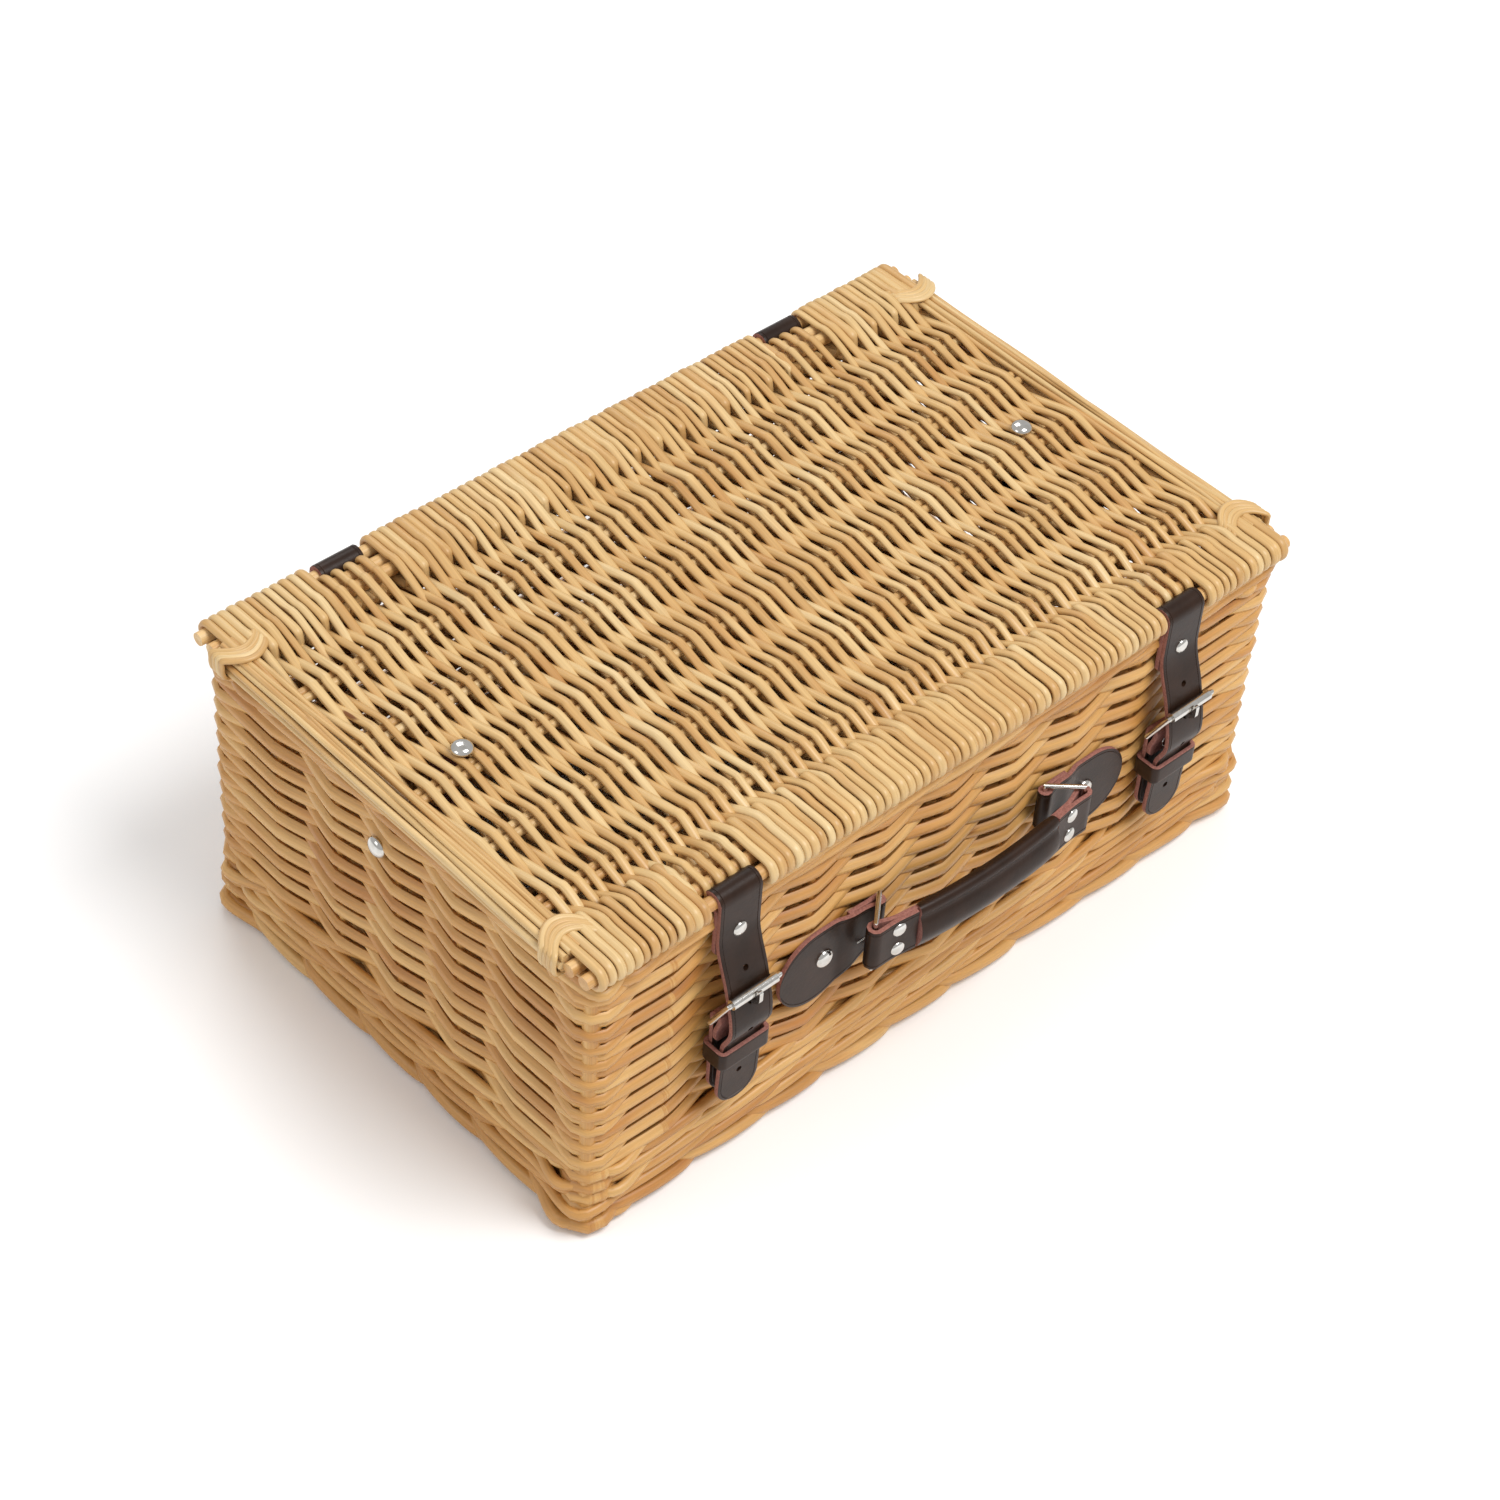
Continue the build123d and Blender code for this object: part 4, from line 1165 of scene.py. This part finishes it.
def build_handle():
    """The handle's strap, which loops round both rings, and the grip that is wrapped round it."""
    low, high = node_box("handle_strap")
    tall = (high[2] - low[2]) / 2
    half = HANDLE_MID - HANDLE_PIVOT[0]
    t = LEATHER / 2
    flap = ((HANDLE_FLAP, t), (HANDLE_FLAP + 6, t), (HANDLE_FLAP + 13, t + 0.2))
    route = [on_bow(-dx, out) for dx, out in flap]
    route += arc((HANDLE_MID - half, HANDLE_PIVOT[1]), HANDLE_LOOP, 285, 75, 16)
    route += [on_bow(dx, -t) for dx in HANDLE_STATIONS]
    route += arc((HANDLE_MID + half, HANDLE_PIVOT[1]), HANDLE_LOOP, 105, -105, 16)
    route += [on_bow(dx, out) for dx, out in reversed(flap)]
    path = resample(smooth_path([(x, y, HANDLE_Z) for x, y in route], 4), 2.2)
    spans = (-tall, tall)
    strip("handle_leather", path, (0, 0, 1), spans, LEATHER, "handle", ("handle_strap",), flip=True)

    low, high = node_box("handle_grip")
    reach = (high[0] - low[0]) / 2
    outline = smooth_path(GRIP_OUTLINE, 3, closed=True)
    verts = []
    for k in range(GRIP_RINGS + 1):
        f = k / GRIP_RINGS * 2 - 1
        fade = 1 - GRIP_SLIM + GRIP_SLIM * math.sqrt(min((1 - abs(f)) * reach / GRIP_FADE, 1.0))
        for dz, dy in outline:
            x, y = on_bow(f * reach, (dy - 1.0) * fade + 1.0)
            verts.append((x, y, HANDLE_Z + dz * (0.9 + 0.1 * fade)))
    faces = tube_faces(GRIP_RINGS + 1, len(outline))
    slots = [0] * (len(faces) - 2) + [1, 1]
    piece = make_piece("handle_grip_cover", verts, faces, [GRAIN, FLESH], slots, angle=60)
    declare(piece, "handle", ("handle_grip",))


STAY_THICK = 2.0
STAY_FOLD = 190.0
STAY_TOP = ((-5, 0.0), (-1, 1.5), (0, 6.0))  # x from the fold, how far below the top
STAY_MIDDLE = (150.0, 120.0, 95.0)  # heights on the lid side of the fold
STAY_OUTER = (95.0, 120.0, 152.0)  # heights on its wall side
STAY_ROUND = 0.98


def build_stays():
    """The two straps that hold the open lid, folded: down from the lid and up again along the wall."""
    for name, side in SIDES.items():
        low, high = node_box(f"stay_{name}")
        inner, outer = sorted((abs(low[0]), abs(high[0])))
        wall = outer - STAY_THICK / 2
        y = (low[1] + high[1]) / 2
        top = high[2] - STAY_THICK / 2
        bottom = low[2] + STAY_THICK / 2
        route = [(inner, top), (inner + 6, top)]
        route += [(STAY_FOLD + dx, top - drop) for dx, drop in STAY_TOP]
        route += [(STAY_FOLD, z) for z in STAY_MIDDLE]
        route += [(STAY_FOLD + 0.3, bottom + 8), (STAY_FOLD + 4, bottom + 1.5)]
        route += [((STAY_FOLD + outer) / 2, bottom)]
        route += [(wall - 4, bottom + 1.5), (wall - 0.3, bottom + 8)]
        route += [(wall, z) for z in STAY_OUTER]
        path = resample(smooth_path([(x * side, y, z) for x, z in route], 4), 3.0)
        half = (high[1] - low[1]) / 2
        spans = tip_spans(path, half, half * STAY_ROUND, half * STAY_ROUND)
        turn = int(np.argmin(path[:, 2]))
        across = (0, 1, 0)
        flip = side > 0
        strip(f"wall_stay_{name}", path[turn:], across, spans[turn:], STAY_THICK, "basket", (), flip=flip)
        path = path[: turn + 1]
        spans = spans[: turn + 1]
        piece = strip(f"lid_stay_{name}", path, across, spans, STAY_THICK, None, (), flip=flip)
        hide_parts(f"stay_{name}")
        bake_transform(piece)


# ---- metal ----
DOME = (
    # share of the head's radius, share of its height
    (1.0, 0.0),
    (1.0, 0.10),
    (0.97, 0.26),
    (0.88, 0.50),
    (0.72, 0.72),
    (0.50, 0.88),
    (0.25, 0.97),
    (0.0, 1.0),
)
BURR = ((0.0, 1.0), (3.2, 1.0), (3.6, 0.6), (3.6, 0.0))  # radius, how far past the shank's end
SHANK_RADIUS = 1.2
STUD_HEAD = 3.0
RIVET_HEAD = 1.6
BURR_ROOM = 1.2
TURNED_SIDES = 28
HANDLE_RIVET_X = 58.0
HANDLE_RIVET_Z = 6.5


def fastener(name, seat, out, radius, height, shank, body, nodes, burr=True):
    """A domed head turned about its shank, with a flat burr at the shank's end."""
    seat = Vector(seat)
    turn = Vector(out).normalized().to_track_quat("Z", "Y").to_matrix()
    rings = [(r, -shank - past) for r, past in BURR] if burr else []
    rings += [(SHANK_RADIUS, -shank), (SHANK_RADIUS, 0.0)]
    rings += [(radius * r, height * h) for r, h in DOME]
    verts = []
    for r, h in rings:
        r = max(r, 0.01)
        for k in range(TURNED_SIDES):
            a = 2 * math.pi * k / TURNED_SIDES
            verts.append(tuple(seat + turn @ Vector((r * math.cos(a), r * math.sin(a), h))))
    piece = make_piece(name, verts, tube_faces(len(rings), TURNED_SIDES), [NICKEL], angle=40)
    declare(piece, body, nodes)


def build_metal():
    for name, side in SIDES.items():
        for node, body, out, radius, height in (
            (f"lid_stud_{name}", "lid", (0, 0, 1), 5.6, 3.0),
            (f"wall_stud_{name}", "basket", (side, 0, 0), 5.8, 3.4),
            (f"plate_stud_{name}", "basket", (0, -1, 0), 5.2, 2.6),
            (f"hinge_rivet_{name}", "basket", (0, 1, 0), 4.0, 1.7),
            (f"chape_rivet_{name}", "basket", (0, -1, 0), 4.0, 1.6),
            (f"strap_rivet_{name}", f"strap_{name}", (0, -1, 0), 4.1, 1.9),
        ):
            low, high = node_box(node)
            out = np.array(out, dtype=float)
            tip = (low + high) / 2 + out * (high - low) / 2
            head = STUD_HEAD if "stud" in node else RIVET_HEAD
            burr = "strap_rivet" not in node
            shank = abs(np.dot(high - low, out)) - head - (BURR_ROOM if burr else 0)
            seat = tip - out * head
            fastener(f"{node}_dome", seat, out, radius, height, shank, body, (node,), burr)

    z_mid = middle("handle_rivets")[2]
    for side in (-1, 1):
        for rise in (-1, 1):
            turn = side * HANDLE_RIVET_X / BOW_RADIUS
            seat = (*on_bow(side * HANDLE_RIVET_X, LEATHER), z_mid + rise * HANDLE_RIVET_Z)
            out = (math.sin(turn), -math.cos(turn), 0)
            label = f"handle_rivet_{'left' if side < 0 else 'right'}_{'low' if rise < 0 else 'high'}"
            nodes = ("handle_rivets",) if side < 0 and rise < 0 else ()
            fastener(label, seat, out, 4.0, 1.7, 4.9, "handle", nodes)


def finish_cad():
    """Gives the CAD nodes that stay visible their materials."""
    willow_nodes = {
        "lid_front_stick": WILLOW_X,
        "lid_back_stick": WILLOW_X,
        "lid_front_inner_sticks": WILLOW_X,
        "lid_back_inner_sticks": WILLOW_X,
        "base_sticks": WILLOW_X,
        "wall_stakes": WILLOW_Z,
        "corner_posts": WILLOW_Z,
    }
    metal_nodes = ["plate_staples"]
    for kind in ("buckle_frame", "buckle_roller", "buckle_prong", "ring"):
        metal_nodes += [f"{kind}_{name}" for name in SIDES]
    for node, material in [*willow_nodes.items(), *((node, NICKEL) for node in metal_nodes)]:
        for slot in frame["nodes"][node].material_slots:
            slot.material = material


build_lid()
build_lid_ends()
build_walls()
build_borders()
build_base()
build_straps()
build_hinges()
build_chapes()
build_plates()
build_handle()
build_stays()
build_metal()
finish_cad()


# ---- floor, light and camera ----
def plain(name, colour, roughness):
    shader = Shader(name, roughness)
    shader.surface.inputs["Base Color"].default_value = (*colour, 1)
    return shader.material


bpy.ops.mesh.primitive_plane_add(size=30, location=(0, 0, -0.0005))
floor = bpy.context.object
floor.name = "floor"
floor.data.materials.append(plain("pale_floor", (0.95, 0.95, 0.95), 0.9))

world = bpy.data.worlds.new("studio")
bpy.context.scene.world = world
world.use_nodes = True
world.node_tree.nodes["Background"].inputs[0].default_value = (1.0, 1.0, 1.0, 1)
world.node_tree.nodes["Background"].inputs[1].default_value = 0.6
bpy.context.scene.view_settings.view_transform = "Standard"


LIGHTS_AIM = Vector((0, 0, 0.1))


def area(name, place, size, power):
    """A square soft light in metres and watts."""
    light = bpy.data.lights.new(name, "AREA")
    light.shape = "SQUARE"
    light.size = size
    light.energy = power
    lamp = bpy.data.objects.new(name, light)
    lamp.location = place
    lamp.rotation_euler = (LIGHTS_AIM - Vector(place)).to_track_quat("-Z", "Y").to_euler()
    bpy.context.scene.collection.objects.link(lamp)


area("key", (0.4, -1.3, 2.7), 1.3, 62)
area("left_fill", (-2.2, 0.3, 1.5), 1.2, 8)
area("back_top", (0.8, 1.8, 2.2), 1.2, 14)

CAMERA_TARGET = Vector((-0.00915, -0.01317, 0.09))
CAMERA_DISTANCE = 1.73883
CAMERA_AZIMUTH = math.radians(-135.5586)
CAMERA_ELEVATION = math.radians(44.7568)
CAMERA_ROLL = math.radians(4.4685)

camera_data = bpy.data.cameras.new("camera")
camera_data.lens = 83.9
camera_data.sensor_width = 36.0
camera = bpy.data.objects.new("camera", camera_data)
bpy.context.scene.collection.objects.link(camera)
across = Vector((math.cos(CAMERA_AZIMUTH), math.sin(CAMERA_AZIMUTH), 0))
back = across * math.cos(CAMERA_ELEVATION) + Vector((0, 0, math.sin(CAMERA_ELEVATION)))
roll = Matrix.Rotation(CAMERA_ROLL, 4, "Z")
facing = back.to_track_quat("Z", "Y").to_matrix().to_4x4()
camera.matrix_world = Matrix.Translation(CAMERA_TARGET + back * CAMERA_DISTANCE) @ facing @ roll
bpy.context.scene.camera = camera
